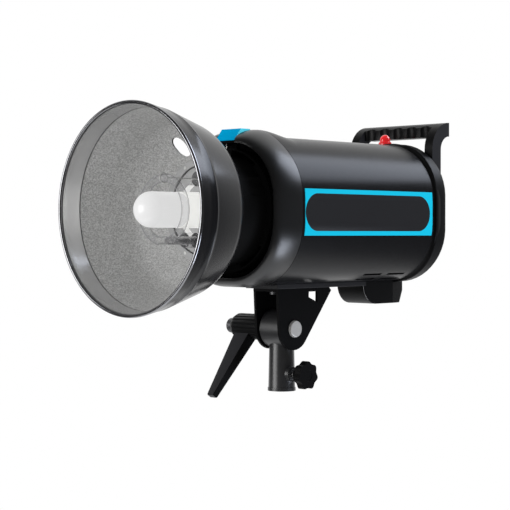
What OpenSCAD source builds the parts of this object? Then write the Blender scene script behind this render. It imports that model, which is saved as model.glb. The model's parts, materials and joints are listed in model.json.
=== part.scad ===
// Studio monolight strobe on a tilting stand socket, with a bowl reflector.
// Millimetres, +Z up, light facing -Y. The origin is the centre of the stand socket's mouth.

/* [Placement] */
// Height of the light's axis above the socket's mouth
axis_h = 164; // [160:1:176]
// How far the tilt pivot lies below the light's axis
pivot_drop = 107; // [104:1:110]
// Distance from the pivot forward to the front shell's seam
seam_reach = 45; // [42:1:52]
// Distance from the seam forward to the reflector's rim
rim_reach = 143; // [138:1:156]

/* [Casing] */
// Width and height of the casing
body_w = 133; // [130:1:140]
// Half width of the flat on each side of the casing
corner_flat = 10.5; // [6.5:0.5:16.5]
// Thickness of the casing's wall
casing_wall = 2; // [1.5:0.25:2.5]
// Length of the casing tube
casing_l = 187; // [180:1:200]
// Length of one vent slot
vent_l = 26; // [18:1:28]
// Width of one vent slot
vent_w = 3.5; // [2:0.5:4]

/* [Side label] */
// Height of the label
label_h = 41; // [36:1:44]
// How far the label's middle lies below the light's axis
label_drop = 1.5; // [0:0.5:3]
// Thickness of the label
label_t = 0.5; // [0.4:0.1:0.8]
// Width of the blue margin above and below the inlay
label_margin = 4; // [3:0.5:6]
// Distance from each end of the casing to the label
label_inset = 3; // [2:0.5:8]

/* [Front shell] */
// Length of the rounded nose
nose_l = 30; // [28:1:34]
// How far the mouth draws in from the casing's side
nose_inset = 7; // [6:0.5:8]
// Rise of the hood over the casing's top
hood_rise = 5.5; // [4.5:0.5:7]
// Half width of the hood where it has faded out
hood_half_w = 50; // [44:1:54]
// Length of the hood's tail on the casing
hood_tail_l = 33; // [28:1:50]
// Drop of the chin below the nose
chin_drop = 2.5; // [0:0.5:3]

/* [Bayonet mount] */
// Clear width between the mount ring and the mouth's wall
ring_margin = 4.1; // [3.5:0.1:5]
// Thickness of the front ring that holds the lugs
ring_t = 4.3; // [3.5:0.1:5]
// Height of a bayonet lug
lug_h = 4.5; // [3.5:0.1:4.6]
// Thickness of a bayonet lug
lug_t = 3.4; // [3:0.1:4]
// Angle that a lug spans
lug_angle = 30; // [24:1:34]

/* [Release slider] */
// Width of the slider
slider_w = 24; // [20:1:26]
// Length of the slider
slider_l = 20; // [19:1:23]
// Travel of the slider
slider_travel = 5; // [4:0.5:5]

/* [Reflector] */
// Outer diameter at the rim
rim_d = 180; // [170:1:190]
// Length of the plain band behind the rim
band_l = 21.6; // [16:0.1:26]
// Outer diameter at the crease behind the band
crease_d = 172; // [164:1:176]
// Length of the slow cone behind the crease
flare_l = 33.8; // [30:0.1:36]
// Outer diameter at the end of the slow cone
flare_end_d = 152.4; // [148:0.2:158]
// Radius of the rounded shoulder
shoulder_r = 31; // [26:1:34]
// Slope of the back cone from the axis
back_angle = 50.3; // [48:0.1:54]
// Step from the bayonet ring's outside in to the neck
neck_step = 2.5; // [1.5:0.1:3.5]
// Thickness of the spun sheet
bowl_sheet = 1.2; // [1:0.1:1.6]
// Diameter of the rolled bead on the rim
bead_d = 3.2; // [2.6:0.1:4]

/* [Umbrella socket] */
// Bore of the umbrella tube
umbrella_bore_d = 8.2; // [7.6:0.1:8.6]
// Wall of the umbrella tube
umbrella_wall = 1.4; // [1:0.1:1.5]
// Distance of the umbrella tube to the left of the axis
umbrella_x = 16.5; // [16.2:0.1:18]
// How far the umbrella tube's axis lies inside the mouth's wall
umbrella_inset = 2; // [1.8:0.1:2.5]
// Length of the umbrella tube
umbrella_l = 47; // [35:1:60]

/* [Lamp and flash tube] */
// Diameter of the modelling lamp
lamp_d = 30.5; // [26:0.5:31]
// Length of the lamp's glass
lamp_l = 45; // [40:1:52]
// Length of the lamp's ceramic collar
collar_l = 30; // [24:1:32]
// Diameter of the lamp's screw cap
cap_d = 26.4; // [24:0.2:26.4]
// Diameter of the flash tube's ring, middle of the glass
tube_ring_d = 54; // [51:1:57]
// Diameter of the flash tube's glass
tube_d = 7; // [6.5:0.5:8.5]
// Distance from the lamp plate forward to the ring
tube_reach = 47; // [40:1:55]
// Distance between the tube's two legs
leg_gap = 14; // [14:0.5:18]
// Gap around the lamp plate in the neck
plate_gap = 0.8; // [0.6:0.1:2.5]

/* [Tilt bracket] */
// Clear width between the flanges
bracket_gap = 25.4; // [25:0.2:28]
// Thickness of the bracket's sheet
bracket_sheet = 2.75; // [2:0.25:3.5]
// Reach of the flanges in front of the pivot
bracket_front = 21.5; // [20.5:0.5:24]
// Reach of the flanges behind the pivot
bracket_back = 51.4; // [46:0.2:56]
// Radius of the flanges around the pivot
flange_r = 19.5; // [18.5:0.5:20]
// Diameter of the tilt bolt
bolt_d = 8; // [6:0.5:8]
// Diameter of the bolt's round head
bolt_head_d = 16; // [12:0.5:17]
// Width of the mount rail
rail_w = 40; // [33:1:44]
// Thickness of the mount rail under the casing
rail_t = 3.5; // [2.5:0.5:5]

/* [Stand socket] */
// Bore for the stand's spigot
spigot_d = 16.2; // [16:0.1:16.4]
// Distance from the pivot down to the roof of the spigot bore
spigot_roof = 19; // [19:1:23]
// Outer diameter at the mouth
socket_mouth_d = 24.7; // [23.6:0.1:25]
// Outer diameter at the top of the taper
socket_top_d = 22.2; // [21.6:0.1:22.6]
// Diameter of the knuckle
knuckle_d = 35; // [32:0.5:36]

/* [Clamp knob] */
// Height of the clamp stud above the mouth
clamp_h = 15.5; // [14.5:0.5:18]
// Diameter of the clamp stud
stud_d = 6; // [5:0.5:6]
// Diameter over the knob's lobes
knob_d = 26; // [22:0.5:28]
// Thickness of the knob's star
knob_t = 7; // [5:0.5:10]
// Number of lobes
knob_lobes = 7; // [5:1:9]

/* [Tilt lever] */
// Diameter of the lever's hub
hub_d = 24; // [23:0.5:26]
// Length of the lever's hub
hub_l = 39; // [38:0.5:42]
// Reach of the arm from the pivot
arm_reach = 75.5; // [66:0.5:84]
// Angle of the arm from straight down towards the front
arm_angle = 33.2; // [20:0.2:40]

/* [Rear bezel and handle] */
// Length of the rear bezel
bezel_l = 16.6; // [15:0.2:20]
// How far the bezel's sides bow out to the rear
bezel_bow = 4.5; // [2:0.5:6]
// Radius of the bezel's corners
bezel_r = 50; // [46:0.5:52]
// Outer radius of the handle's bend
handle_r = 27; // [25:0.5:30]
// Thickness of the handle's bend
handle_t = 13.5; // [12:0.5:15]
// Width of one handle arm
handle_arm_w = 9.6; // [8:0.2:11]
// Distance from the casing's side in to the handle's arm
handle_inset = 14.5; // [13.5:0.5:17]
// Number of finger flutes in the grip
flute_count = 5; // [3:1:6]

/* [Rear foot] */
// Width of the foot
foot_w = 33; // [28:1:38]
// Height of the foot below the casing
foot_h = 21.5; // [16:0.5:26]
// Length of the foot
foot_l = 64; // [58:1:66]

/* [Rear panel] */
// Width of the display window
display_w = 44; // [36:1:50]
// Height of the display window
display_h = 20; // [16:1:22]
// Diameter of the power dial
dial_d = 26; // [20:1:28]
// Width of a push button
button_w = 13; // [10:0.5:15]
// Height of a push button
button_h = 7; // [6:0.5:8]
// Travel of a push button
button_travel = 1.5; // [1:0.25:1.5]
// Diameter of the slave cell's dome
dome_d = 12.9; // [11:0.1:14]

/* [Inside] */
// Distance from the casing's wall in to the capacitors
capacitor_inset = 17; // [17:1:22]
// Length of a capacitor
capacitor_l = 88; // [70:1:90]
// Width of the fan's frame
fan_w = 60; // [50:1:60]

/* [Hidden] */
$fn = 64;

// Clearances: overshoot of a cut, gap between moving pieces, running fit, slip fit of fixed pieces
over = 1;
gap = 0.3;
run = 0.05;
slip = 0.1;

// Steps of a rounded corner and of a rounded nose
corner_steps = 12;
nose_steps = 9;

// Heights of the pivot and the spigot bore, section and ends of the casing
half = body_w / 2;
pivot_h = axis_h - pivot_drop;
spigot_depth = pivot_h - spigot_roof;
corner_r = half - corner_flat;
inner_half = half - casing_wall;
inner_r = corner_r - casing_wall;
seam_y = -seam_reach;
front_y = seam_y - nose_l;
rear_y = seam_y + casing_l;
rim_y = seam_y - rim_reach;

// Vents in the lower rear corners: rows around the corner, columns along the casing
vent_angles = [19.8, 30.8];
vent_pitch = 35;
vent_end = 11;

// Ends of the label's inlay
pill_end = 1;

// Front shell: recess, bulkhead and slot for the slider
mouth_lip = 0.5;
mouth_round = 6;
mouth_half = half - nose_inset;
recess_half = mouth_half - mouth_lip;
recess_r = corner_r - nose_inset - mouth_lip;
shell_wall = 3;
bulkhead_t = 3;
bulkhead_inset = 3.5;
spigot_l = 6;
hood_flat = 12;
tail_steps = 8;
tail_edge = 0.4;

// Stack of the bayonet mount along the axis
ring_sunk = 3;
flange_gap = 6;
ring_wall = 1.6;
ring_y = front_y + ring_sunk;
ring_end_y = ring_y + ring_t;
lug_y = ring_end_y + gap;
lug_end_y = lug_y + lug_t;
flange_y = lug_end_y + flange_gap;
flange_t = 3;
flange_end_y = flange_y + flange_t;
bulkhead_end_y = flange_end_y + bulkhead_t;
ring_wall_r = recess_half - ring_margin - ring_wall;
bayonet_r = ring_wall_r - gap - lug_h;
bayonet_wall = 3;
ring_bore_r = bayonet_r + gap;
bulkhead_r = bayonet_r - bulkhead_inset;
lug_count = 3;
lug_first = 30;
lug_entry = 36;
entry_extra = 4;
entry_angle = lug_angle + entry_extra;
sector_steps = 8;
flange_screw_clear = 1;
umbrella_z = recess_half - umbrella_inset;
umbrella_proud = 2;
umbrella_y = flange_y - umbrella_proud;

// Release slider: floor that it rides on, stem and lock pin
roof_t = 2.2;
slider_proud = 0.3;
slider_sunk = 1;
stem_gap = 2.5;
spring_room = 4;
slider_floor = recess_half + roof_t;
slider_z = slider_floor + gap;
slider_top = half + hood_rise + slider_proud;
slider_y = front_y + slider_sunk;
slider_slope = 8.3;
slider_end_y = slider_y + slider_l;
stem_w = 5.2;
stem_y = lug_end_y + stem_gap;
stem_l = 4.5;
pin_z = bayonet_r + lug_h / 2;
pin_d = 4;
pin_short = 0.3;
stem_z = pin_z - pin_d;
spring_seat_y = stem_y + stem_l + slider_travel + spring_room;
spring_seat_t = 2.5;
release_spring_d = 5;
spring_wire = 1;
slider_spring_z = (pin_z + slider_floor) / 2;

// Reflector: shoulder arc between the slow cone and the back cone
flare_angle = atan((crease_d - flare_end_d) / 2 / flare_l);
shoulder_y = band_l + flare_l - shoulder_r * sin(flare_angle);
shoulder_c = flare_end_d / 2 - shoulder_r * cos(flare_angle);
shoulder_end_r = shoulder_c + shoulder_r * cos(back_angle);
shoulder_end_y = shoulder_y + shoulder_r * sin(back_angle);
neck_r = bayonet_r - neck_step;
neck_flange = 6;
neck_bore_r = neck_r - neck_flange;
neck_y = shoulder_end_y + (shoulder_end_r - neck_r) / tan(back_angle);
shoulder_steps = 6;
back_y = rim_y + neck_y;
umbrella_hole_clear = 2.4;
umbrella_hole_r = umbrella_bore_d / 2 + umbrella_hole_clear;
umbrella_hole_in = 3.5;
umbrella_hole_l = 3;
rivet_count = 6;
rivet_d = 3;
rivet_head_d = 4.6;
rivet_head_t = 1;
ring_flange_t = 3;

// Lamp base and what it carries
base_step = 2.5;
base_proud = 23;
base_wall = 3;
base_flange = 4;
plate_t = 2;
plate_r = neck_bore_r - plate_gap;
base_r = plate_r - base_step;
base_flange_r = base_r + base_flange;
base_front_y = front_y - base_proud;
plate_y = base_front_y - plate_t;
holder_r = 16.9;
holder_wall = 3;
holder_l = 30;
holder_flange_r = 20;
holder_flange_t = 2;
cap_l = 25;
cap_tip_r = 4;
cap_step = 1;
collar_gap = 1;
collar_proud = 0.25;
collar_end_y = plate_y - collar_gap;
collar_y = collar_end_y - collar_l;
glass_y = collar_y - lamp_l;
glass_t = 1.2;
lamp_r = lamp_d / 2;
tube_y = plate_y - tube_reach;
leg_angle = asin(leg_gap / tube_ring_d);
leg_z = -tube_ring_d / 2 * cos(leg_angle);
tube_bulge = 0.15;
tube_socket_r = 6.5;
tube_socket_l = 16;
post_wire_d = 1.4;
post_ring_r = tube_d / 2 + slip + post_wire_d / 2;

// Tilt bracket: the rail under the casing sets its top
rail_inset = 18;
rail_y = seam_y + rail_inset;
rail_bottom = -half - rail_t;
bracket_top = axis_h + rail_bottom;
flange_in = bracket_gap / 2;
flange_out = flange_in + bracket_sheet;
bolt_r = bolt_d / 2;
bracket_corner = 3;
window_y = 20;
window_l = 12;
window_top = 3.6;
window_h = 10;
bracket_screw_d = 6;
bracket_screw_head_d = 10;
bracket_screw_head_t = 3;
bracket_screw_y = [-9, 30];
bracket_nut_d = 11.6;
bracket_nut_t = 5;
arc_step = 10;

// Knuckle, friction discs, tilt bolt and clamp
disc_t = 1;
disc_inset = 2;
disc_r = knuckle_d / 2 - disc_inset;
knuckle_half = flange_in - gap - disc_t;
socket_lip_h = 3;
socket_lip = 0.5;
bolt_head_draft = 0.7;
bolt_head_h = 3;
washer_r = 11;
washer_t = 2;
bush_wall = 1.8;
bush_r = stud_d / 2 + bush_wall;
boss_wall = 2;
boss_r = bush_r + boss_wall;
boss_proud = 1.6;
boss_end = socket_mouth_d / 2 + boss_proud;
bush_proud = 1;
bush_end = boss_end + bush_proud;
bush_gap = 0.4;
bush_start = spigot_d / 2 + bush_gap;
pad_l = 2;
pad_tip = spigot_d / 2 + run;
pad_stem_r = 1.4;
pad_stem_l = 3;
stud_start = pad_tip + pad_l + gap;
knob_clear = 3;
knob_hub_start = bush_end + knob_clear;
knob_hub_l = 8;
knob_start = knob_hub_start + knob_hub_l;
knob_end = knob_start + knob_t;
knob_neck_r = 5;
knob_neck_flare = 2;
stud_past_hub = 2;
stud_into_knob = knob_hub_l + stud_past_hub;
lobe_depth = 1.9;
lobe_steps = 12;
knob_dish_r = 5;
knob_dish = 0.4;

// Tilt lever and clamp nut on the bolt, along -X
lever_gap = 0.5;
lever_start = flange_out + washer_t + lever_gap;
nut_r = 8.5;
nut_l = 20;
nut_end = lever_start + nut_l;
shoulder_gap = 1;
lever_wall = nut_end + shoulder_gap;
lever_wall_t = 3;
lever_screw_r = bolt_r;
lever_spring_l = 9.5;
lever_spring_wire = 2;
lever_spring_gap = 0.2;
lever_spring_start = lever_wall + lever_wall_t + lever_spring_gap;
screw_head_start = lever_spring_start + lever_spring_l + lever_spring_gap;
screw_head_r = 7;
screw_head_proud = 9;
screw_head_bevel = 1;
screw_head_end = lever_start + hub_l + screw_head_proud;
hub_clear = 0.4;
hub_cavity_r = screw_head_r + hub_clear;
hub_bevel = 4;
hub_grooves = 20;
hub_groove_r = 0.8;
hub_groove_end = 3;
bolt_short = 3;
bolt_end = nut_end - bolt_short;
arm_root_w = 18;
arm_root_t = 11.5;
arm_shift = 4;
arm_sunk = 2;
arm_root_x = lever_start + hub_l / 2 + arm_shift;
arm_tip_w = 7.4;
arm_tip_t = 6.4;
arm_lean = 7.9;
arm_tip_x = arm_root_x + arm_lean;
arm_round = 1;

// Rear bezel, panel and handle
groove_w = 2.4;
groove_d = 1.8;
bezel_swell = 0.6;
bezel_edge = 1.2;
bezel_round = 5;
bezel_end_y = rear_y + bezel_l;
panel_t = 3;
panel_sunk = 4.6;
panel_inset = 6.3;
panel_round = 6;
panel_y = bezel_end_y - panel_sunk - panel_t;
panel_end_y = panel_y + panel_t;
panel_half = half - panel_inset;
panel_r = bezel_r - panel_round;
ledge_w = 4.5;
ledge_t = 2.5;
handle_c_y = bezel_end_y + handle_r;
handle_drop = 5;
handle_c_z = half - handle_drop;
handle_leg = 34;
handle_foot_top = 22;
handle_out = half - handle_inset;
handle_in = handle_out - handle_arm_w;
grip_front = 15;
grip_extra = 2;
grip_rise = 12.5;
flute_r = 8;
flute_depth = 2.5;
flute_y = handle_c_y - grip_front - flute_r + flute_depth;
handle_screw_d = 5;
handle_screw_head_d = 8.5;
handle_screw_head_t = 4;
handle_screw_rise = 5.5;
handle_screw_sunk = 0.5;
handle_hex_w = 4;
handle_hex_floor = 1;
handle_screw_x = handle_out - handle_arm_w / 2;
handle_screw_z = handle_c_z - handle_leg + handle_screw_rise;
handle_screw_in = 4;

// Slave cell on top of the bezel
dome_y = rear_y + bezel_l / 2;
dome_sunk = 2;
dome_rise = 5.3;
dome_flange_t = 1.6;
dome_step = 0.8;
dome_r = dome_d / 2 - dome_step;
dome_seat = half - dome_sunk;
dome_mid = half + dome_rise;
dome_stem_r = 4.5;
dome_stem_l = 3.5;

// Rear foot
foot_overlap = 45;
foot_y = rear_y - foot_overlap;
foot_front = 19;
foot_wall = 2.5;
foot_tail = 19;
foot_taper = 3;
foot_slope = 6;

// Layout of the rear panel: x to the right seen from the front, z from the axis
display_top = 11.2;
button_drop = 11;
control_drop = 21;
button_pitch = 22;
dial_inset = 36.2;
display_z = panel_half - display_top - display_h / 2;
button_row_z = display_z - display_h / 2 - button_drop;
dial_x = panel_half - dial_inset;
dial_z = button_row_z - control_drop;
dial_shaft_r = 3;
dial_l = 11;
dial_clear = 1;
dial_grooves = 20;
dial_groove_r = 1;
dial_skirt = 2;
dial_mark_d = 0.8;
rocker_inset = 25.2;
rocker_x = rocker_inset - panel_half;
rocker_z = dial_z;
rocker_w = 13;
rocker_r = 9.6;
rocker_tilt = 7;
rocker_front = 4;
rocker_dip = 1.8;
sync_inset = 20.2;
sync_x = panel_half - sync_inset;
fuse_x = sync_x / 2;
inlet_x = -sync_x / 4;
inlet_rise = 20.2;
inlet_z = inlet_rise - panel_half;
inlet_w = 27;
inlet_h = 20;
inlet_wall = 1.6;
inlet_depth = 17;
inlet_flange = 2.5;
inlet_flange_t = 2;
inlet_pin_l = 9;
inlet_pin_pitch = 7;
inlet_pin_w = 2;
inlet_pin_h = 4;
fuse_drop = 2;
fuse_z = inlet_z - fuse_drop;
fuse_r = 8;
fuse_body_r = 6;
fuse_l = 9;
fuse_body_l = 14;
fuse_slot = 1.6;
sync_rise = 1;
sync_z = inlet_z + sync_rise;
sync_bore_r = 3.2;
sync_r = 5;
sync_nut_r = 7;
sync_l = 18;
sync_floor = 2;
sync_nut_t = 2;
button_flange = 1;
button_flange_t = 1.2;
button_rest = 0.5;
button_proud = button_travel + button_rest;
button_depth = 5;
panel_screw_d = 3;
panel_screw_head_d = 4.2;
flange_screw = (ring_wall_r + ring_wall + flange_screw_clear + panel_screw_head_d / 2) / sqrt(2);
panel_screw_head_t = 2;
panel_screw_l = 7;
panel_screw_angle = 62;
panel_screw_r = panel_r - ledge_w / 2;
panel_screw_x = panel_half - panel_r + panel_screw_r * cos(panel_screw_angle);
panel_screw_z = panel_half - panel_r + panel_screw_r * sin(panel_screw_angle);
window_t = 2;

// Inside: tray, boards and what stands on them
tray_rise = 18.5;
tray_inset = 20.5;
tray_front = 12;
tray_back = 14;
tray_t = 2;
tray_z = tray_rise - inner_half;
tray_half_w = inner_half - tray_inset;
tray_y = seam_y + tray_front;
tray_end_y = rear_y - tray_back;
tray_lip = 5;
tray_leg_x = 6;
tray_leg_l = 30;
tray_leg_inset = 40;
tray_leg_y = [tray_y + tray_leg_inset, tray_end_y - tray_leg_inset];
tray_top = tray_z + tray_t;
capacitor_front = 8;
capacitor_gap = 1.5;
capacitor_y = tray_y + capacitor_front;
capacitor_d = inner_half - capacitor_inset - capacitor_gap;
capacitor_x = capacitor_d / 2 + capacitor_gap;
capacitor_stud_r = 4;
capacitor_stud_l = 6;
board_t = 1.6;
board_clear = 12;
board_inset = 18.5;
board_short = 65;
board_l = casing_l - board_short;
board_post_r = 2.5;
board_post_inset = 4;
board_z = tray_top + capacitor_d + board_clear;
board_half_w = inner_half - board_inset;
board_post_x = board_half_w - board_post_inset;
board_y = tray_y;
board_end_y = board_y + board_l;
board_post_y = [board_y + board_post_inset, board_end_y - board_post_inset];
coil_r = 8;
coil_h = 18;
coil_x = 26;
coil_back = 24;
transformer_w = 44;
transformer_l = 36;
transformer_clear = 15;
transformer_front = 55;
transformer_y = tray_y + transformer_front;
transformer_x = -8;
transformer_h = inner_half - transformer_clear - board_z - board_t;
winding_over = 6;
fan_t = 15;
fan_gap = 6;
fan_rim = 2.5;
fan_y = board_end_y + fan_gap;
fan_r = fan_w / 2 - fan_rim;
fan_z = tray_top + fan_w / 2;
fan_hub_r = 11;
fan_shaft_r = 2;
fan_strut = 4;
fan_plate_t = 3;
fan_blades = 7;
fan_blade_t = 1.6;
blade_root = 1;
blade_gap = 2;
fan_pitch = 35;
control_board_gap = 14;
control_board_margin = 14;
control_board_drop = 4;
control_post_side = 14.2;
control_post_pitch = 24;
control_board_y = panel_y - control_board_gap;
control_board_z = [dial_z - control_board_margin, display_z - control_board_drop];
control_post_x = panel_half - control_post_side;
control_post_inset = 4;
control_post_r = 2.5;

// Placing and sweeping helpers
module head() { translate([0, 0, axis_h]) children(); }
module at_xz(x, z) { translate([x, 0, z]) children(); }
module along_y(y0, y1) { translate([0, y1, 0]) rotate([90, 0, 0]) linear_extrude(y1 - y0) children(); }
module along_x(x0, x1) { translate([x0, 0, 0]) rotate([90, 0, 90]) linear_extrude(x1 - x0) children(); }
module rod_y(r, y0, y1) { translate([0, y0, 0]) rotate([-90, 0, 0]) cylinder(r = r, h = y1 - y0); }
module cone_y(r0, r1, y0, y1) {
    translate([0, y0, 0]) rotate([-90, 0, 0]) cylinder(r1 = r0, r2 = r1, h = y1 - y0);
}
module rod_x(r, x0, x1) { translate([x0, 0, 0]) rotate([0, 90, 0]) cylinder(r = r, h = x1 - x0); }
module cone_x(r0, r1, x0, x1) {
    translate([x0, 0, 0]) rotate([0, 90, 0]) cylinder(r1 = r0, r2 = r1, h = x1 - x0);
}
module pipe_y(r_out, r_in, y0, y1) {
    difference() {
        rod_y(r_out, y0, y1);
        rod_y(r_in, y0 - over, y1 + over);
    }
}
module pipe_x(r_out, r_in, x0, x1) {
    difference() {
        rod_x(r_out, x0, x1);
        rod_x(r_in, x0 - over, x1 + over);
    }
}
module block(x0, x1, y0, y1, z0, z1) { translate([x0, y0, z0]) cube([x1 - x0, y1 - y0, z1 - z0]); }

// Outline of a square with half size h and corner radius r, counter-clockwise
function corner_sign(k) = [[1, 1], [-1, 1], [-1, -1], [1, -1]][k];
function rounded_points(h, r) = [
    for (k = [0:3], i = [0:corner_steps])
        let (a = 90 * k + 90 * i / corner_steps, c = h - r)
        [corner_sign(k)[0] * c + r * cos(a), corner_sign(k)[1] * c + r * sin(a)]
];
module rounded_square(h, r) { polygon(rounded_points(h, r)); }
module rounded_prism(h, r, y0, y1) { along_y(y0, y1) rounded_square(h, r); }

// Solid through a row of closed rings that run along +Y
module loft(rings) {
    n = len(rings[0]);
    last = len(rings) - 1;
    sides = [
        for (k = [0:last - 1], i = [0:n - 1])
            let (a = k * n + i, b = k * n + (i + 1) % n)
            each [[a, b, b + n], [a, b + n, a + n]]
    ];
    front = [[for (i = [n - 1:-1:0]) i]];
    back = [[for (i = [0:n - 1]) last * n + i]];
    polyhedron(points = [for (r = rings) each r], faces = concat(front, sides, back));
}

// Points of an arc in a plane, and the angle at which a line from p touches a circle
function arc(cx, cy, r, a0, a1, steps) = [
    for (i = [0:steps]) let (a = a0 + (a1 - a0) * i / steps) [cx + r * cos(a), cy + r * sin(a)]
];
function reversed(list) = [for (i = [len(list) - 1:-1:0]) list[i]];
function touch_angle(p, r, side) = atan2(p[1], p[0]) + side * acos(r / norm(p));

// Stand socket
module socket_casting() {
    color("dimgray")
    difference() {
        union() {
            cylinder(h = pivot_h, d1 = socket_mouth_d, d2 = socket_top_d);
            cylinder(h = socket_lip_h, d = socket_mouth_d + 2 * socket_lip);
            translate([0, 0, pivot_h]) rod_x(knuckle_d / 2, -knuckle_half, knuckle_half);
            translate([0, 0, clamp_h]) rod_x(boss_r, 0, boss_end);
        }
        translate([0, 0, -over]) cylinder(h = spigot_depth + over, d = spigot_d);
        translate([0, 0, pivot_h]) rod_x(bolt_r + run, -knuckle_half - over, knuckle_half + over);
        translate([0, 0, clamp_h]) rod_x(bush_r, 0, boss_end + over);
    }
}
module clamp_bush() {
    color("darkgoldenrod")
    translate([0, 0, clamp_h]) pipe_x(bush_r, stud_d / 2 + run, bush_start, bush_end);
}
module friction_discs() {
    color("saddlebrown")
    translate([0, 0, pivot_h])
        for (x = [-knuckle_half - disc_t, knuckle_half])
            pipe_x(disc_r, bolt_r + run, x, x + disc_t);
}
module clamp_pad() {
    color("goldenrod")
    translate([0, 0, clamp_h]) {
        rod_x(stud_d / 2, pad_tip, pad_tip + pad_l);
        rod_x(pad_stem_r, pad_tip + pad_l, pad_tip + pad_l + pad_stem_l);
    }
}
module clamp_stud() {
    color("silver")
    translate([0, 0, clamp_h])
        difference() {
            rod_x(stud_d / 2, stud_start, knob_hub_start + stud_into_knob);
            rod_x(pad_stem_r + run, stud_start - over, pad_tip + pad_l + pad_stem_l + gap);
        }
}
function star_points() = [
    for (i = [0:knob_lobes * lobe_steps - 1])
        let (
            a = 360 * i / (knob_lobes * lobe_steps),
            r = knob_d / 2 - lobe_depth * pow(sin(a * knob_lobes / 2), 2)
        )
        [r * sin(a), r * cos(a)]
];
module clamp_knob() {
    color("black")
    translate([0, 0, clamp_h])
        difference() {
            union() {
                cone_x(knob_neck_r, knob_neck_r + knob_neck_flare, knob_hub_start, knob_start);
                along_x(knob_start, knob_end) polygon(star_points());
            }
            rod_x(stud_d / 2, knob_hub_start - over, knob_hub_start + stud_into_knob);
            rod_x(knob_dish_r, knob_end - knob_dish, knob_end + over);
        }
}

// Tilt bracket and its fasteners
function flange_outline() =
    let (
        top = bracket_top - pivot_h,
        rear = [bracket_back, top - bracket_corner],
        front = [-bracket_front, top],
        a_rear = touch_angle(rear, flange_r, -1),
        a_front = touch_angle(front, flange_r, 1) - 360,
        steps = floor((a_rear - a_front) / arc_step)
    )
    concat(
        [front, [bracket_back - bracket_corner, top], rear],
        arc(0, 0, flange_r, a_rear, a_front, steps)
    );
module flange_window() {
    top = bracket_top - pivot_h - window_top;
    polygon([
        [window_y + window_l, top], [window_y, top],
        [window_y, top - window_h / 2], [window_y + window_l, top - window_h]
    ]);
}
module tilt_bracket() {
    color([0.05, 0.05, 0.05])
    difference() {
        union() {
            for (x = [-flange_out, flange_in])
                translate([0, 0, pivot_h])
                    along_x(x, x + bracket_sheet)
                        difference() {
                            polygon(flange_outline());
                            circle(bolt_r + run);
                            flange_window();
                        }
            block(-flange_out, flange_out, -bracket_front, bracket_back - bracket_corner,
                  bracket_top - bracket_sheet, bracket_top);
        }
        for (y = bracket_screw_y)
            translate([0, y, bracket_top - bracket_sheet - over])
                cylinder(h = bracket_sheet + 2 * over, d = bracket_screw_d + 2 * slip);
    }
}
module bracket_screws() {
    head_z = bracket_top - bracket_sheet - bracket_screw_head_t;
    nut_z = axis_h - inner_half;
    color("gray")
    for (y = bracket_screw_y)
        translate([0, y, 0]) {
            translate([0, 0, head_z]) cylinder(h = bracket_screw_head_t, d = bracket_screw_head_d);
            translate([0, 0, head_z])
                cylinder(h = nut_z + bracket_nut_t + over - head_z, d = bracket_screw_d);
            translate([0, 0, nut_z])
                difference() {
                    cylinder(h = bracket_nut_t, d = bracket_nut_d, $fn = 6);
                    translate([0, 0, -over])
                        cylinder(h = bracket_nut_t + 2 * over, d = bracket_screw_d + 2 * slip);
                }
        }
}
module tilt_bolt() {
    color("silver")
    translate([0, 0, pivot_h]) {
        rod_x(bolt_r, -bolt_end, flange_out);
        cone_x(bolt_head_d / 2, bolt_head_d / 2 - bolt_head_draft, flange_out, flange_out + bolt_head_h);
    }
}
module tilt_washer() {
    color("dimgray")
    translate([0, 0, pivot_h]) pipe_x(washer_r, bolt_r + slip, -flange_out - washer_t, -flange_out);
}
module mount_rail() {
    color([0.09, 0.09, 0.1])
    head()
        difference() {
            block(-rail_w / 2, rail_w / 2, rail_y, foot_y, rail_bottom, -half + 2 * rail_t);
            rounded_prism(half, corner_r, rail_y - over, foot_y + over);
            for (y = bracket_screw_y)
                translate([0, y, rail_bottom - over])
                    cylinder(h = 3 * rail_t, d = bracket_screw_d + 2 * slip);
        }
}

// Casing and labels
module vent_slots() {
    c = half - corner_r;
    for (side = [-1, 1], a = vent_angles, k = [0, 1])
        translate([side * c, rear_y - vent_end - k * vent_pitch - vent_l, -c])
            rotate([0, -side * a, 0])
                block(-vent_w / 2, vent_w / 2, 0, vent_l, -corner_r - over, -inner_r + over);
}
module casing() {
    color([0.12, 0.12, 0.13])
    head()
        difference() {
            rounded_prism(half, corner_r, seam_y, rear_y);
            rounded_prism(inner_half, inner_r, seam_y - over, rear_y + over);
            vent_slots();
            for (y = bracket_screw_y)
                translate([0, y, -half - over])
                    cylinder(h = casing_wall + 2 * over, d = bracket_screw_d + 2 * slip);
        }
}
module label_skin() {
    difference() {
        rounded_prism(half + label_t, corner_r + label_t, seam_y + label_inset, rear_y - label_inset);
        rounded_prism(half, corner_r, seam_y, rear_y);
    }
}
module pill() {
    r = label_h / 2 - label_margin;
    y0 = seam_y + label_inset + pill_end + r;
    y1 = rear_y - label_inset - pill_end - r;
    translate([y0, -label_drop - r]) square([y1 - y0, 2 * r]);
    for (y = [y0, y1]) translate([y, -label_drop]) circle(r);
}
module label_window() {
    translate([seam_y, -label_drop - label_h / 2]) square([casing_l, label_h]);
}
module side_labels() {
    color("deepskyblue")
    head()
        for (side = [0, 1])
            mirror([side, 0, 0])
                intersection() {
                    label_skin();
                    along_x(half / 2, half + 2 * over)
                        difference() {
                            label_window();
                            pill();
                        }
                }
}
module label_inlays() {
    color([0.17, 0.17, 0.18])
    head()
        for (side = [0, 1])
            mirror([side, 0, 0])
                intersection() {
                    label_skin();
                    along_x(half / 2, half + 2 * over) pill();
                }
}

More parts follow.
